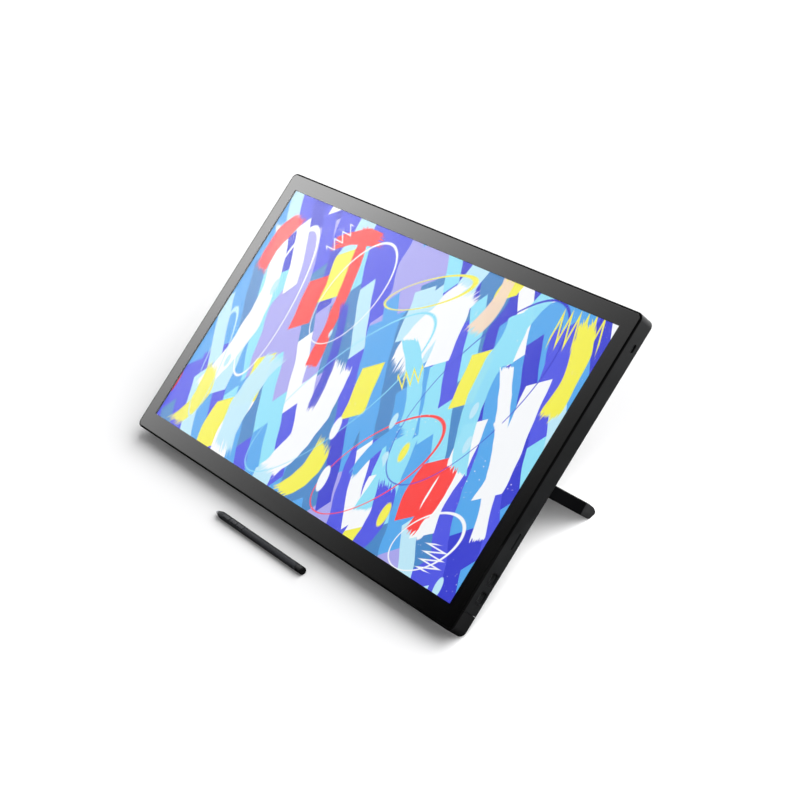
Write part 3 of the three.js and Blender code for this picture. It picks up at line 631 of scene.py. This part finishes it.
BLUE = rgb("#4A52E6")
DEEP_BLUE = rgb("#3038D2")
SKY = rgb("#4FA8EE")
CYAN = rgb("#8FE2FA")
PALE = rgb("#BFEAFB")
WHITE = rgb("#FAFCFF")
LILAC = rgb("#A9A6EE")
RED = rgb("#FF3A38")
YELLOW = rgb("#F7F24A")
CREAM = rgb("#F8DCC2")
TEAL = rgb("#3F86C8")


def stroke_frame(t, u, v, centre, turn):
    """Distances along and across a stroke that is centred there and turned by so many degrees."""
    c, s = math.cos(math.radians(turn)), math.sin(math.radians(turn))
    cu, cv = centre
    along = t.math("MULTIPLY_ADD", v, s, t.math("MULTIPLY_ADD", u, c, -cu * c - cv * s))
    across = t.math("MULTIPLY_ADD", v, c, t.math("MULTIPLY_ADD", u, -s, cu * s - cv * c))
    return along, across


def brush_mask(t, u, v, centre, turn, long, wide, bend, ragged, cover):
    """A bent stroke with bristly ends: its cover inside it and 0 outside."""
    along, across = stroke_frame(t, u, v, centre, turn)
    bent = t.math("MULTIPLY_ADD", t.math("MULTIPLY", along, along), -bend / long**2, across)
    bristles = t.line_noise(t.math("MULTIPLY_ADD", bent, 0.5, wide + long))
    swell = t.line_noise(t.math("MULTIPLY_ADD", along, 0.02, wide - long))
    half = t.math("MULTIPLY_ADD", swell, -0.8 * wide, -0.6 * wide)
    side = t.math("ADD", t.math("ABSOLUTE", bent), half)
    reach = t.math("MULTIPLY_ADD", bristles, ragged, -long - ragged / 2)
    end = t.math("ADD", t.math("ABSOLUTE", along), reach)
    return t.step(t.math("MAXIMUM", side, end), 0.5, -0.5, 0.0, cover)


def loop_mask(t, u, v, centre, turn, long, wide, line):
    """A thin line round an ellipse, thicker towards one end: 1 on it and 0 beside it."""
    along, across = stroke_frame(t, u, v, centre, turn)
    x, y = t.math("DIVIDE", along, long), t.math("DIVIDE", across, wide)
    radius = t.math("SQRT", t.math("MULTIPLY_ADD", x, x, t.math("MULTIPLY", y, y)))
    off = t.math("ABSOLUTE", t.math("MULTIPLY_ADD", radius, wide, -wide))
    thin = t.step(x, -1.0, 1.0, 0.5 * line, 1.3 * line)
    return t.step(t.math("SUBTRACT", off, thin), 0.4, -0.4)


# Patches fill leaning columns: (turn in degrees, column's width, patch's length, sway, seed, share that is
# painted, colours).
PATCHES = (
    (104, 40, 180, 1.3, 3.1, 1.0, (DEEP_BLUE, SKY, BLUE, SKY, DEEP_BLUE, TEAL, BLUE, SKY, CYAN, LILAC)),
    (119, 19, 84, 0.9, 9.4, 0.5, (SKY, BLUE, CYAN, SKY, PALE, DEEP_BLUE, WHITE, SKY, TEAL, BLUE)),
    (98, 27, 60, 1.4, 21.7, 0.2, (WHITE, CYAN, RED, PALE, WHITE, YELLOW)),
)
# Each stroke is (centre u, centre v, turn in degrees, half length, half width, bend, ragged end, colour,
# cover).
STROKES = (
    (-206, 10, 98, 100, 12, 30, 22, WHITE, 1.0),
    (-146, -84, 92, 56, 15, -12, 30, PALE, 0.95),
    (-96, 62, 104, 82, 8, 4, 10, RED, 1.0),
    (-244, 88, 80, 36, 11, -8, 20, RED, 0.95),
    (-30, -70, 84, 66, 15, 14, 26, WHITE, 1.0),
    (46, 74, 74, 52, 18, -8, 36, WHITE, 1.0),
    (92, -22, 112, 92, 11, 30, 10, CYAN, 1.0),
    (150, 52, 96, 96, 11, -26, 10, CYAN, 0.95),
    (214, -6, 118, 88, 7.5, 6, 10, WHITE, 1.0),
    (176, -76, 88, 36, 9, 4, 18, RED, 1.0),
    (2, -118, 70, 34, 12, 10, 26, YELLOW, 1.0),
    (-214, -108, 84, 36, 11, 12, 26, YELLOW, 0.95),
    (-124, 128, 20, 34, 9, -6, 26, RED, 1.0),
    (124, -118, 96, 34, 12, 8, 24, BLUE, 1.0),
    (110, 118, 84, 32, 9, 6, 24, CREAM, 0.95),
    (244, 92, 100, 48, 10, 8, 26, YELLOW, 1.0),
    (-58, 2, 110, 60, 6, 8, 20, DEEP_BLUE, 0.9),
    (70, -60, 66, 34, 7, -6, 18, SKY, 1.0),
)
# Each loop is (centre u, centre v, turn in degrees, half length, half width, line, colour).
LOOPS = (
    (-188, 26, 96, 92, 28, 0.9, WHITE),
    (-84, 70, 76, 66, 38, 0.7, WHITE),
    (84, -74, 52, 84, 36, 0.7, RED),
    (18, 104, 30, 58, 16, 0.8, YELLOW),
    (196, -112, 44, 44, 26, 0.9, WHITE),
    (150, 34, 70, 120, 52, 0.55, DEEP_BLUE),
    (-226, -66, 104, 66, 14, 0.6, PALE),
    (-20, -30, 60, 130, 44, 0.5, CYAN),
)
# Each zigzag is (centre u, centre v, turn in degrees, half length, half width, pitch, line, colour).
ZIGZAGS = (
    (222, 128, 12, 30, 16, 5, 0.9, YELLOW),
    (60, 18, 40, 16, 8, 5, 0.8, YELLOW),
    (-150, 118, 64, 20, 7, 6, 0.6, WHITE),
    (214, -122, 100, 14, 12, 4, 0.7, WHITE),
)


def patch_layer(t, picture, u, v, patches):
    """Paints some of the patches of a field of leaning columns, each in one of the colours."""
    turn, wide, long, sway, seed, share, colours = patches
    along, across = stroke_frame(t, u, v, (0.0, 0.0), turn)
    swaying = t.line_noise(t.math("MULTIPLY_ADD", along, 0.008, seed))
    column = t.math("FLOOR", t.math("MULTIPLY_ADD", across, 1 / wide, t.math("MULTIPLY", swaying, sway)))
    start = t.math("MULTIPLY_ADD", t.chance(t.math("ADD", column, seed)), 5.0, seed)
    slanting = t.math("MULTIPLY_ADD", across, 0.5, along)
    row = t.math("FLOOR", t.math("MULTIPLY_ADD", slanting, 1 / long, start))
    number = t.chance(t.math("MULTIPLY_ADD", row, 17.3, column))
    ramp = t.node("ShaderNodeValToRGB", {"Fac": t.math("DIVIDE", number, share)})
    ramp.color_ramp.interpolation = "CONSTANT"
    stops = ramp.color_ramp.elements
    while len(stops) < len(colours):
        stops.new(1.0)
    for i, colour in enumerate(colours):
        stops[i].position = i / len(colours)
        stops[i].color = colour
    return t.mix(t.math("LESS_THAN", number, share), picture, ramp.outputs["Color"])


def zigzag_mask(t, u, v, centre, turn, long, wide, pitch, line):
    """A thin zigzag line: 1 on it and 0 beside it."""
    along, across = stroke_frame(t, u, v, centre, turn)
    path = t.math("MULTIPLY_ADD", t.math("PINGPONG", along, pitch), 2 * wide / pitch, -wide)
    slope = pitch / math.hypot(pitch, 2 * wide)
    side = t.math("MULTIPLY_ADD", t.math("ABSOLUTE", t.math("SUBTRACT", across, path)), slope, -line)
    end = t.math("SUBTRACT", t.math("ABSOLUTE", along), long)
    return t.step(t.math("MAXIMUM", side, end), 0.4, -0.4)


def brush_layer(t, picture, u, v, strokes):
    """Paints strokes over the picture, one after another."""
    for cu, cv, turn, long, wide, bend, ragged, colour, cover in strokes:
        mask = brush_mask(t, u, v, (cu, cv), turn, long, wide, bend, ragged, cover)
        picture = t.mix(mask, picture, colour)
    return picture


def dabs(t, picture, point, turn, pitch, size, colour, keep):
    """Leaning oval dabs scattered over the part of the picture where a slow noise is high."""
    leaning = t.scaled(t.turned(point, math.radians(turn), "Z_AXIS"), (0.42, 1.0, 0.0))
    is_dab = t.step(t.cells(leaning, 1 / pitch), size + 0.012, size - 0.012)
    here = t.step(t.noise(point, 0.011, 1.0), keep, keep + 0.02)
    return t.mix(t.math("MULTIPLY", is_dab, here), picture, colour)


def screen_material():
    """The lit panel: the picture inside the active area, and black matrix outside it.

    The strokes use only plain numbers, and the layers that need points come last, because Cycles runs
    out of room when many strokes wait for one another.
    """
    material, t = new_material("lit_lcd_panel")
    point = t.on_display()
    u, v, _ = t.parts(point)
    picture = BLUE
    for patches in PATCHES:
        picture = patch_layer(t, picture, u, v, patches)
    picture = brush_layer(t, picture, u, v, STROKES)
    for cu, cv, turn, long, wide, line, colour in LOOPS:
        picture = t.mix(loop_mask(t, u, v, (cu, cv), turn, long, wide, line), picture, colour)
    for cu, cv, turn, long, wide, pitch, line, colour in ZIGZAGS:
        picture = t.mix(zigzag_mask(t, u, v, (cu, cv), turn, long, wide, pitch, line), picture, colour)
    picture = dabs(t, picture, point, -96, 34, 0.13, PALE, 0.5)
    picture = dabs(t, picture, point, -92, 52, 0.11, YELLOW, 0.53)
    picture = dabs(t, picture, t.vector("ADD", point, (90.0, 30.0, 0.0)), -98, 44, 0.14, WHITE, 0.51)
    spray = t.step(t.cells(point, 0.22), 0.16, 0.1)
    sprayed = t.math("MULTIPLY", spray, t.step(t.noise(point, 0.014, 1.0), 0.56, 0.7))
    picture = t.mix(sprayed, picture, WHITE)
    lit = t.step(outside_picture(t, point), 0.1, -0.1)
    glow = t.mix(lit, (0, 0, 0, 1), picture)
    t.finish(t.surface(Base_Color=rgb("#050506"), Roughness=0.4, Specular_IOR_Level=0.1,
                       Emission_Color=glow, Emission_Strength=0.95))
    material.cycles.emission_sampling = "NONE"
    return material


# ---- Materials by slot ----

MATERIALS = {
    "screen_glass": cover_glass_material(),
    "housing": moulded("charcoal_moulded_plastic", rgb("#141516"), 0.46, specular=0.3, painted_lip_shade=True),
    "foot_strip": moulded("charcoal_strip_plastic", rgb("#121213"), 0.5, specular=0.26, painted_lip_shade=True),
    "leg_plastic": moulded("black_leg_plastic", rgb("#040405"), 0.5, specular=0.06),
    "rubber": rubber("black_rubber", rgb("#0A0A0B")),
    "steel": metal("bright_steel", (0.42, 0.43, 0.44, 1.0), 0.32),
    "mount_steel": metal("blackened_mount_steel", (0.09, 0.092, 0.096, 1.0), 0.48),
    "chassis_metal": metal("black_anodised_metal", (0.05, 0.051, 0.054, 1.0), 0.5),
    "aluminium": metal("rolled_aluminium", (0.62, 0.63, 0.65, 1.0), 0.38),
    "panel": screen_material(),
    "film": film("optical_film", (0.86, 0.88, 0.92, 1.0)),
    "circuit_board": circuit_board("circuit_board"),
    "cable": flat_cable("amber_flat_cable"),
    "black_cable": rubber("black_cable_sheath", rgb("#101011"), 0.6),
    "chip": moulded("black_chip_resin", rgb("#111214"), 0.5),
    "copper": wound_copper("enamelled_copper"),
    "pen_body": moulded("pen_soft_plastic", rgb("#2D2E31"), 0.6, grain=0.012, pitch=0.3, specular=0.05,
                        painted_edge_shade=True),
    "pen_switch": moulded("pen_switch_plastic", rgb("#303134"), 0.5, grain=0.008, pitch=0.3, specular=0.06,
                          painted_edge_shade=True),
    "pen_tip": moulded("pen_tip_grey_plastic", rgb("#86888C"), 0.5, grain=0.006, pitch=0.3, specular=0.2),
    "pen_cap": moulded("pen_cap_black_plastic", rgb("#0F0F10"), 0.4, grain=0.002, pitch=0.5, specular=0.05),
}

# ---- Pieces drawn anew from the frame's places ----


def hull(points):
    """The convex outline of some points of a plane, counter-clockwise."""
    ordered = sorted(set(points))

    def half(line):
        chain = []
        for p in line:
            while len(chain) > 1:
                (ax, ay), (bx, by) = chain[-2], chain[-1]
                if (bx - ax) * (p[1] - ay) - (by - ay) * (p[0] - ax) > 1e-4:
                    break
                chain.pop()
            chain.append(p)
        return chain[:-1]

    return half(ordered) + half(ordered[::-1])


def end_outline(node, place, axis):
    """The outline of the face at a node's far end along an axis, in the other two axes."""
    points = points_of(node, place)
    end = max(p[axis] for p in points)
    one, two = (axis + 1) % 3, (axis + 2) % 3
    return hull((round(p[one], 3), round(p[two], 3)) for p in points if p[axis] > end - 0.05)


def drawn_in(outline, inset):
    """A convex outline moved inwards."""
    moved = []
    for i, (x, y) in enumerate(outline):
        before, after = outline[i - 1], outline[(i + 1) % len(outline)]
        normals = []
        for (ax, ay), (bx, by) in ((before, (x, y)), ((x, y), after)):
            long = math.hypot(bx - ax, by - ay)
            normals.append(((by - ay) / long, (ax - bx) / long))
        nx, ny = normals[0][0] + normals[1][0], normals[0][1] + normals[1][1]
        share = 2 * inset / (nx * nx + ny * ny)
        moved.append((x - nx * share, y - ny * share))
    return moved


def softened(outline, radius):
    """A convex outline with its sharp corners rounded."""
    points = []
    for i, corner in enumerate(outline):
        before, after = Vector(outline[i - 1]), Vector(outline[(i + 1) % len(outline)])
        corner = Vector(corner)
        one, two = (before - corner), (after - corner)
        turn = math.pi - one.angle(two)
        if turn < math.radians(SHARP_ANGLE):
            points.append(tuple(corner))
            continue
        reach = min(radius * math.tan(turn / 2), one.length * 0.45, two.length * 0.45)
        start, end = corner + one.normalized() * reach, corner + two.normalized() * reach
        for k in range(CURVE_STEPS + 1):
            s = k / CURVE_STEPS
            points.append(tuple(start.lerp(corner, s).lerp(corner.lerp(end, s), s)))
    return points


def prism(node, place, axis, rims, outline):
    """A CAD node drawn again from its outline along an axis, with rims of (low end, high end) radius."""
    low, high = span(node, place)
    layers = round_rim(rims[0], low[axis], down=True)[::-1] + round_rim(rims[1], high[axis])
    bm = bmesh.new()
    loops = []
    for inset, height in layers:
        loop = []
        for x, y in drawn_in(outline, inset):
            point = [0.0, 0.0, 0.0]
            point[axis], point[(axis + 1) % 3], point[(axis + 2) % 3] = height, x, y
            loop.append(bm.verts.new(point))
        loops.append(loop)
    bridge_loops(bm, loops)
    return add_piece(node, bm, place)


def cutter_box(low, high, place):
    """A plain box to cut with, from corners in a place's millimetres."""
    bm = bmesh.new()
    bmesh.ops.create_cube(bm, size=1.0)
    size = Vector(high) - Vector(low)
    middle = (Vector(high) + Vector(low)) / 2
    bm.transform(place @ Matrix.Translation(middle) @ Matrix.Diagonal((*size, 1.0)))
    return bm


def carve(piece, *cutters):
    """Cuts bmeshes, drawn in the row frame, out of a piece."""
    piece.modifiers.clear()
    for bm in cutters:
        mesh = bpy.data.meshes.new("cutter")
        bmesh.ops.recalc_face_normals(bm, faces=bm.faces)
        bm.to_mesh(mesh)
        bm.free()
        tool = add_object("cutter", mesh)
        boolean = piece.modifiers.new("cut", "BOOLEAN")
        boolean.operation = "DIFFERENCE"
        boolean.solver = "EXACT"
        boolean.object = tool
        bpy.context.view_layer.update()
        cut = piece.evaluated_get(bpy.context.evaluated_depsgraph_get())
        result = bpy.data.meshes.new_from_object(cut)
        piece.modifiers.clear()
        piece.data = result
        bpy.data.objects.remove(tool)
    shade(piece)


def build_glass():
    points = points_of("cover_glass", DISPLAY)
    low, high = span("cover_glass", DISPLAY)
    radius = high.x - max(p.x for p in points if p.y > high.y - 0.01)
    layers = [(GLASS_BACK_EDGE, low.z), (0.0, low.z + GLASS_BACK_EDGE)] + round_rim(GLASS_EDGE, high.z)
    bm = slab((low.x, low.y, high.x, high.y), radius, layers, GLASS_CORNER_STEPS)
    add_piece("cover_glass", bm, DISPLAY, "screen_cover_glass")


def build_screw(node):
    """A pan-head screw with a domed top and a cross recess."""
    low, high = span(node, DISPLAY)
    top = Vector(((low.x + high.x) / 2, (low.y + high.y) / 2, low.z))
    radius = (high.x - low.x) / 2
    long = high.z - low.z
    profile = [(depth, radius * share) for depth, share in SCREW_DOME]
    profile += [(SCREW_HEAD, radius), (SCREW_HEAD, radius * SCREW_SHANK), (long, radius * SCREW_SHANK),
                (long, 0.0)]
    upright = DISPLAY @ Matrix.Translation(top) @ Matrix.Rotation(-TURN / 4, 4, "Y")
    piece = add_piece(node, lathe(profile, LATHE_STEPS["screw"]), upright)
    long, wide = (share * radius for share in SCREW_CROSS)
    slots = [cutter_box(top - Vector((u, v, 1)), top + Vector((u, v, SCREW_CROSS_DEPTH)), DISPLAY)
             for u, v in ((long, wide), (wide, long))]
    carve(piece, *slots)


def build_leg(side):
    """A leg with rounded sides. It and its foot are drawn past their junction and cut back to it."""
    place = leg_frame(side)
    foot_start, _ = span(f"leg_foot_{side}", place)
    low, high = span(f"leg_bracket_{side}", place)

    found = end_outline(f"leg_{side}", place, 0)
    end = max(x for x, _ in found)
    long = [(x + LEG_OVERLAP if x > end - 1 else x, y) for x, y in found]
    leg = prism(f"leg_{side}", place, 0, LEG_RIM, softened(long, LEG_CORNER))
    notch = cutter_box((low.x - GAP, -FAR, -FAR), (high.x + GAP, KNUCKLE_REACH, FAR), place)
    carve(leg, notch, cutter_box((low.x - FAR, end, -FAR), (high.x + FAR, FAR, FAR), place))

    found = end_outline(f"leg_foot_{side}", place, 0)
    long = [(x - LEG_OVERLAP if x < foot_start.y + 0.5 else x, y) for x, y in found]
    foot = prism(f"leg_foot_{side}", place, 0, LEG_RIM, softened(long, FOOT_CORNER))
    carve(foot, cutter_box((low.x - FAR, 0, -FAR), (high.x + FAR, foot_start.y, FAR), place))


def build_rear_foot(node):
    outline = softened(end_outline(node, DISPLAY, 2), REAR_FOOT_CORNER)
    prism(node, DISPLAY, 2, REAR_FOOT_RIM, outline)


def key_outline(rect, radius):
    """A rounded rectangle with points along its straight sides too."""
    corners = rounded_outline(*rect, radius, CURVE_STEPS)
    along, across = KEY_SIDES
    points = []
    for i, (x, y) in enumerate(corners):
        points.append((x, y))
        nx, ny = corners[(i + 1) % len(corners)]
        if i % (CURVE_STEPS + 1) == CURVE_STEPS:
            count = along if abs(nx - x) > abs(ny - y) else across
            points += [(x + (nx - x) * k / count, y + (ny - y) * k / count) for k in range(1, count)]
    return points


def build_pen_switch(node):
    """A crowned key with rounded rims and a shallow dish for the finger."""
    low, high = span(node, PEN)
    nib_low, nib_high = span("pen_nib", PEN)
    axis_height = (nib_low.z + nib_high.z) / 2
    crown = high.z - axis_height
    middle = (low.x + high.x) / 2
    bm = bmesh.new()
    loops = []
    for inset, drop in ((0.0, None), *KEY_RIM, *((inset, 0.0) for inset in KEY_TOP)):
        rect = (low.x + inset, low.y + inset, high.x - inset, high.y - inset)
        loop = []
        for x, y in key_outline(rect, max(KEY_CORNER - inset, 0.05)):
            if drop is None:
                loop.append(bm.verts.new((x, y, low.z)))
                continue
            top = axis_height + math.sqrt(crown * crown - y * y)
            hollow = KEY_DISH * math.exp(-((x - middle) / KEY_DISH_REACH) ** 2)
            loop.append(bm.verts.new((x, y, top - drop - hollow)))
        loops.append(loop)
    bridge_loops(bm, loops)
    add_piece(node, bm, PEN)


def build_pen_tip():
    """The grey cone round the nib."""
    low, high = span("pen_tip_cone", PEN)
    collar = (high.y - low.y) / 2
    mouth = low.x + TIP_LIP
    rim = high.x - TIP_COLLAR
    reach, gained = TIP_BULGE
    profile = [(mouth, TIP_BORE), (low.x, TIP_BORE + 0.04)]
    profile += flowing([(mouth, TIP_MOUTH), (low.x + reach, TIP_MOUTH + gained), (rim - 0.15, collar - 0.07)])
    profile += [(rim, collar - 0.12), (rim, collar - TIP_STEP), (high.x, collar - TIP_STEP),
                (high.x, TIP_BORE), (mouth, TIP_BORE)]
    add_piece("pen_tip_cone", lathe(profile, LATHE_STEPS["cone"]), PEN)


def build_nib():
    low, high = span("pen_nib", PEN)
    radius = (high.y - low.y) / 2
    profile = [(low.x, 0.0)]
    profile += [(low.x + NIB_POINT * (1 - math.cos(a)), radius * math.sin(a) ** 0.8) for a in NIB_ANGLES]
    profile += [(high.x - NIB_EDGE, radius), (high.x, radius - NIB_EDGE), (high.x, 0.0)]
    add_piece("pen_nib", lathe(profile, LATHE_STEPS["nib"]), PEN)


def build_pen_barrel():
    """The barrel, hollow behind its nose, with one opening for the three switches."""
    low, high = span("pen_barrel", PEN)
    radius = (high.y - low.y) / 2
    inner = radius - PEN_WALL
    nose = flowing([(low.x, NOSE_START)] + [(low.x + ahead, radius - missing) for ahead, missing in NOSE])
    ring = NOSE_START - NOSE_RING
    profile = [(low.x, ring), *nose, (high.x - PEN_EDGE, radius), (high.x, radius - PEN_EDGE),
               (high.x, inner), (low.x + NOSE_WALL, inner), (low.x + NOSE_WALL, ring), (low.x, ring)]
    barrel = add_piece("pen_barrel", lathe(profile, LATHE_STEPS["barrel"]), PEN)
    first, _ = span("pen_switch_front", PEN)
    _, last = span("pen_switch_rear", PEN)
    rect = (first.x - GAP, first.y - GAP, last.x + GAP, last.y + GAP)
    slot = slab(rect, SWITCH_SLOT_CORNER, [(0, SWITCH_SLOT_FLOOR), (0, radius + 2)], 8)
    slot.transform(PEN)
    carve(barrel, slot)


def build_pen_cap():
    """The tail cap: a plug inside the barrel, a rounded end and a shallow dimple."""
    _, barrel_end = span("pen_barrel", PEN)
    low, high = span("pen_tail_cap", PEN)
    radius = (high.y - low.y) / 2
    plug = radius - PEN_WALL - GAP
    lip = barrel_end.x + GAP
    start, end, deep = CAP_DIMPLE
    profile = [(low.x, 0.0), (low.x, plug - 0.3), (low.x + 0.3, plug), (lip, plug),
               (lip, radius - PEN_EDGE), (lip + PEN_EDGE, radius)]
    profile += arc((high.x - CAP_ROUND, radius - CAP_ROUND), CAP_ROUND, 90, 0, 10)
    profile += [(high.x, radius - start), (high.x - deep, radius - end), (high.x - deep, 0.0)]
    add_piece("pen_tail_cap", lathe(profile, LATHE_STEPS["cap"]), PEN)


# CAD nodes whose own shape is right, with the radius that their sharp edges get.
REFINED = {
    "rear_housing": 0.14,
    "foot_strip": 0.14,
    "edge_foot": 0.5,
    "vesa_plate": 0.3,
    "port_bezel_upper": 0.15,
    "port_bezel_lower": 0.15,
    "usb_socket_upper": 0.06,
    "usb_socket_lower": 0.06,
    "lock_bracket": 0.2,
    "power_button": 0.25,
    "leg_pin_right": 0.3,
    "leg_pin_left": 0.3,
    "leg_bracket_right": 0.5,
    "leg_bracket_left": 0.5,
}


def build_object():
    for node, made in nodes.items():
        made.data.materials.clear()
        made.data.materials.append(MATERIALS[SLOT_OF[node]])
    build_glass()
    for i in range(1, 5):
        build_screw(f"cover_screw_{i}")
    build_leg("right")
    build_leg("left")
    for i in range(1, 5):
        build_rear_foot(f"rear_foot_{i}")
    build_pen_tip()
    build_nib()
    build_pen_barrel()
    build_pen_cap()
    for where in ("front", "middle", "rear"):
        build_pen_switch(f"pen_switch_{where}")
    for node, edge in REFINED.items():
        refined(node, edge)


# ---- Stage: floor, light and camera ----


def build_floor():
    low, _ = cad_bounds
    bm = bmesh.new()
    bmesh.ops.create_grid(bm, x_segments=1, y_segments=1, size=30.0)
    mesh = bpy.data.meshes.new("floor")
    bm.to_mesh(mesh)
    bm.free()
    floor = add_object("floor", mesh)
    floor.location.z = low.z
    material, t = new_material("pale_floor")
    # Painted reflection: glossy surfaces mirror a made-up ramp instead of the floor's own colour, near black
    # at the front and brighter than white further back.
    glossy = t.node("ShaderNodeLightPath").outputs["Is Glossy Ray"]
    _, away, _ = t.parts(t.node("ShaderNodeTexCoord").outputs["Object"])
    share = t.step(away, *MIRRORED_FROM, *MIRRORED_FLOOR)
    tone = t.mix(glossy, FLOOR_COLOUR, t.grey(share))
    t.finish(t.surface(Base_Color=tone, Roughness=1.0, Specular_IOR_Level=0.0))
    mesh.materials.append(material)


# Light. The glass mirrors a wall of soft light over the far left, whose brightness falls off towards the
# right and towards the front. The key comes low from behind, so that soft shadows fall in front.
SOFT_BOX_FALL = (-12.8, 7.9)  # per unit of the mirrored direction's x and y
SOFT_BOX_AT = (-0.80, -0.12)  # where its brightness is SOFT_BOX_LIGHT
SOFT_BOX_LIGHT = 12.5
SOFT_BOX_MOST = 9.6
SOFT_BOX_CUT = 0.52  # taken off everywhere, so that its far end is dark
MIRRORED_ROOM = 0.012
SKY_LIGHT = 0.415
FLOOR_COLOUR = (0.93, 0.93, 0.935, 1.0)
# Painted reflection: the floor's tone as glossy surfaces mirror it, from near black at the front to brighter
# than white further back.
MIRRORED_FROM = (0.15, 0.75)  # what is mirrored of the floor grows from one place to the other
MIRRORED_FLOOR = (0.02, 1.7)
BACKDROP = 1.1
KEY_FROM = Vector((0.60, 0.72, 0.46))
KEY_LIGHT = 5.9
KEY_SIZE = 78  # degrees across
FILL_AT = Vector((0.28, 0.12, 0.055))
FILL_SIZE = (0.12, 0.22)
FILL_LIGHT = 0.09


def build_world():
    """A white room for the camera and the floor, and a dark one with a soft box for what is mirrored."""
    world = bpy.data.worlds.new("studio")
    world.use_nodes = True
    world.node_tree.nodes.clear()
    t = Tree(world.node_tree)
    x, y, _ = t.parts(t.node("ShaderNodeTexCoord").outputs["Generated"])
    fall_x, fall_y = SOFT_BOX_FALL
    start = math.log(SOFT_BOX_LIGHT) - fall_x * SOFT_BOX_AT[0] - fall_y * SOFT_BOX_AT[1]
    power = t.math("MULTIPLY_ADD", y, fall_y, t.math("MULTIPLY_ADD", x, fall_x, start))
    soft_box = t.math("MINIMUM", t.math("EXPONENT", power), SOFT_BOX_MOST)
    mirrored = t.math("MAXIMUM", t.math("SUBTRACT", soft_box, SOFT_BOX_CUT), MIRRORED_ROOM)
    path = t.node("ShaderNodeLightPath")
    glossy, seen = path.outputs["Is Glossy Ray"], path.outputs["Is Camera Ray"]
    room = t.math("MULTIPLY_ADD", seen, BACKDROP - SKY_LIGHT, SKY_LIGHT)
    change = t.math("MULTIPLY", glossy, t.math("SUBTRACT", mirrored, room))
    background = t.node("ShaderNodeBackground", {"Strength": t.math("ADD", room, change)})
    t.node("ShaderNodeOutputWorld", {"Surface": background.outputs[0]})
    world.cycles.sampling_method = "NONE"
    bpy.context.scene.world = world


def build_key():
    data = bpy.data.lights.new("key", "SUN")
    data.energy = KEY_LIGHT
    data.angle = math.radians(KEY_SIZE)
    key = add_object("key", data)
    key.rotation_euler = KEY_FROM.to_track_quat("Z", "Y").to_euler()


def build_fill():
    """A card of light over the floor by the right leg, where the room's light gets in under the tablet."""
    data = bpy.data.lights.new("fill", "AREA")
    data.shape = "ELLIPSE"
    data.size, data.size_y = FILL_SIZE
    data.energy = FILL_LIGHT
    fill = add_object("fill", data)
    fill.location = FILL_AT
    fill.visible_camera = False
    fill.visible_glossy = False


def build_camera():
    azimuth, elevation = math.radians(CAMERA_AZIMUTH), math.radians(CAMERA_ELEVATION)
    back = Vector((math.sin(azimuth) * math.cos(elevation), -math.cos(azimuth) * math.cos(elevation),
                   math.sin(elevation)))
    data = bpy.data.cameras.new("camera")
    data.lens = CAMERA_LENS
    data.sensor_width = CAMERA_SENSOR
    data.clip_start = 0.01
    camera = add_object("camera", data)
    turn = Matrix.Rotation(azimuth, 4, "Z") @ Matrix.Rotation(math.pi / 2 - elevation, 4, "X")
    roll = Matrix.Rotation(math.radians(CAMERA_ROLL), 4, "Z")
    camera.matrix_world = Matrix.Translation(CAMERA_TARGET + back * CAMERA_DISTANCE) @ turn @ roll
    bpy.context.scene.camera = camera
    bpy.context.scene.view_settings.view_transform = "Standard"


build_object()
build_floor()
build_world()
build_key()
build_fill()
build_camera()
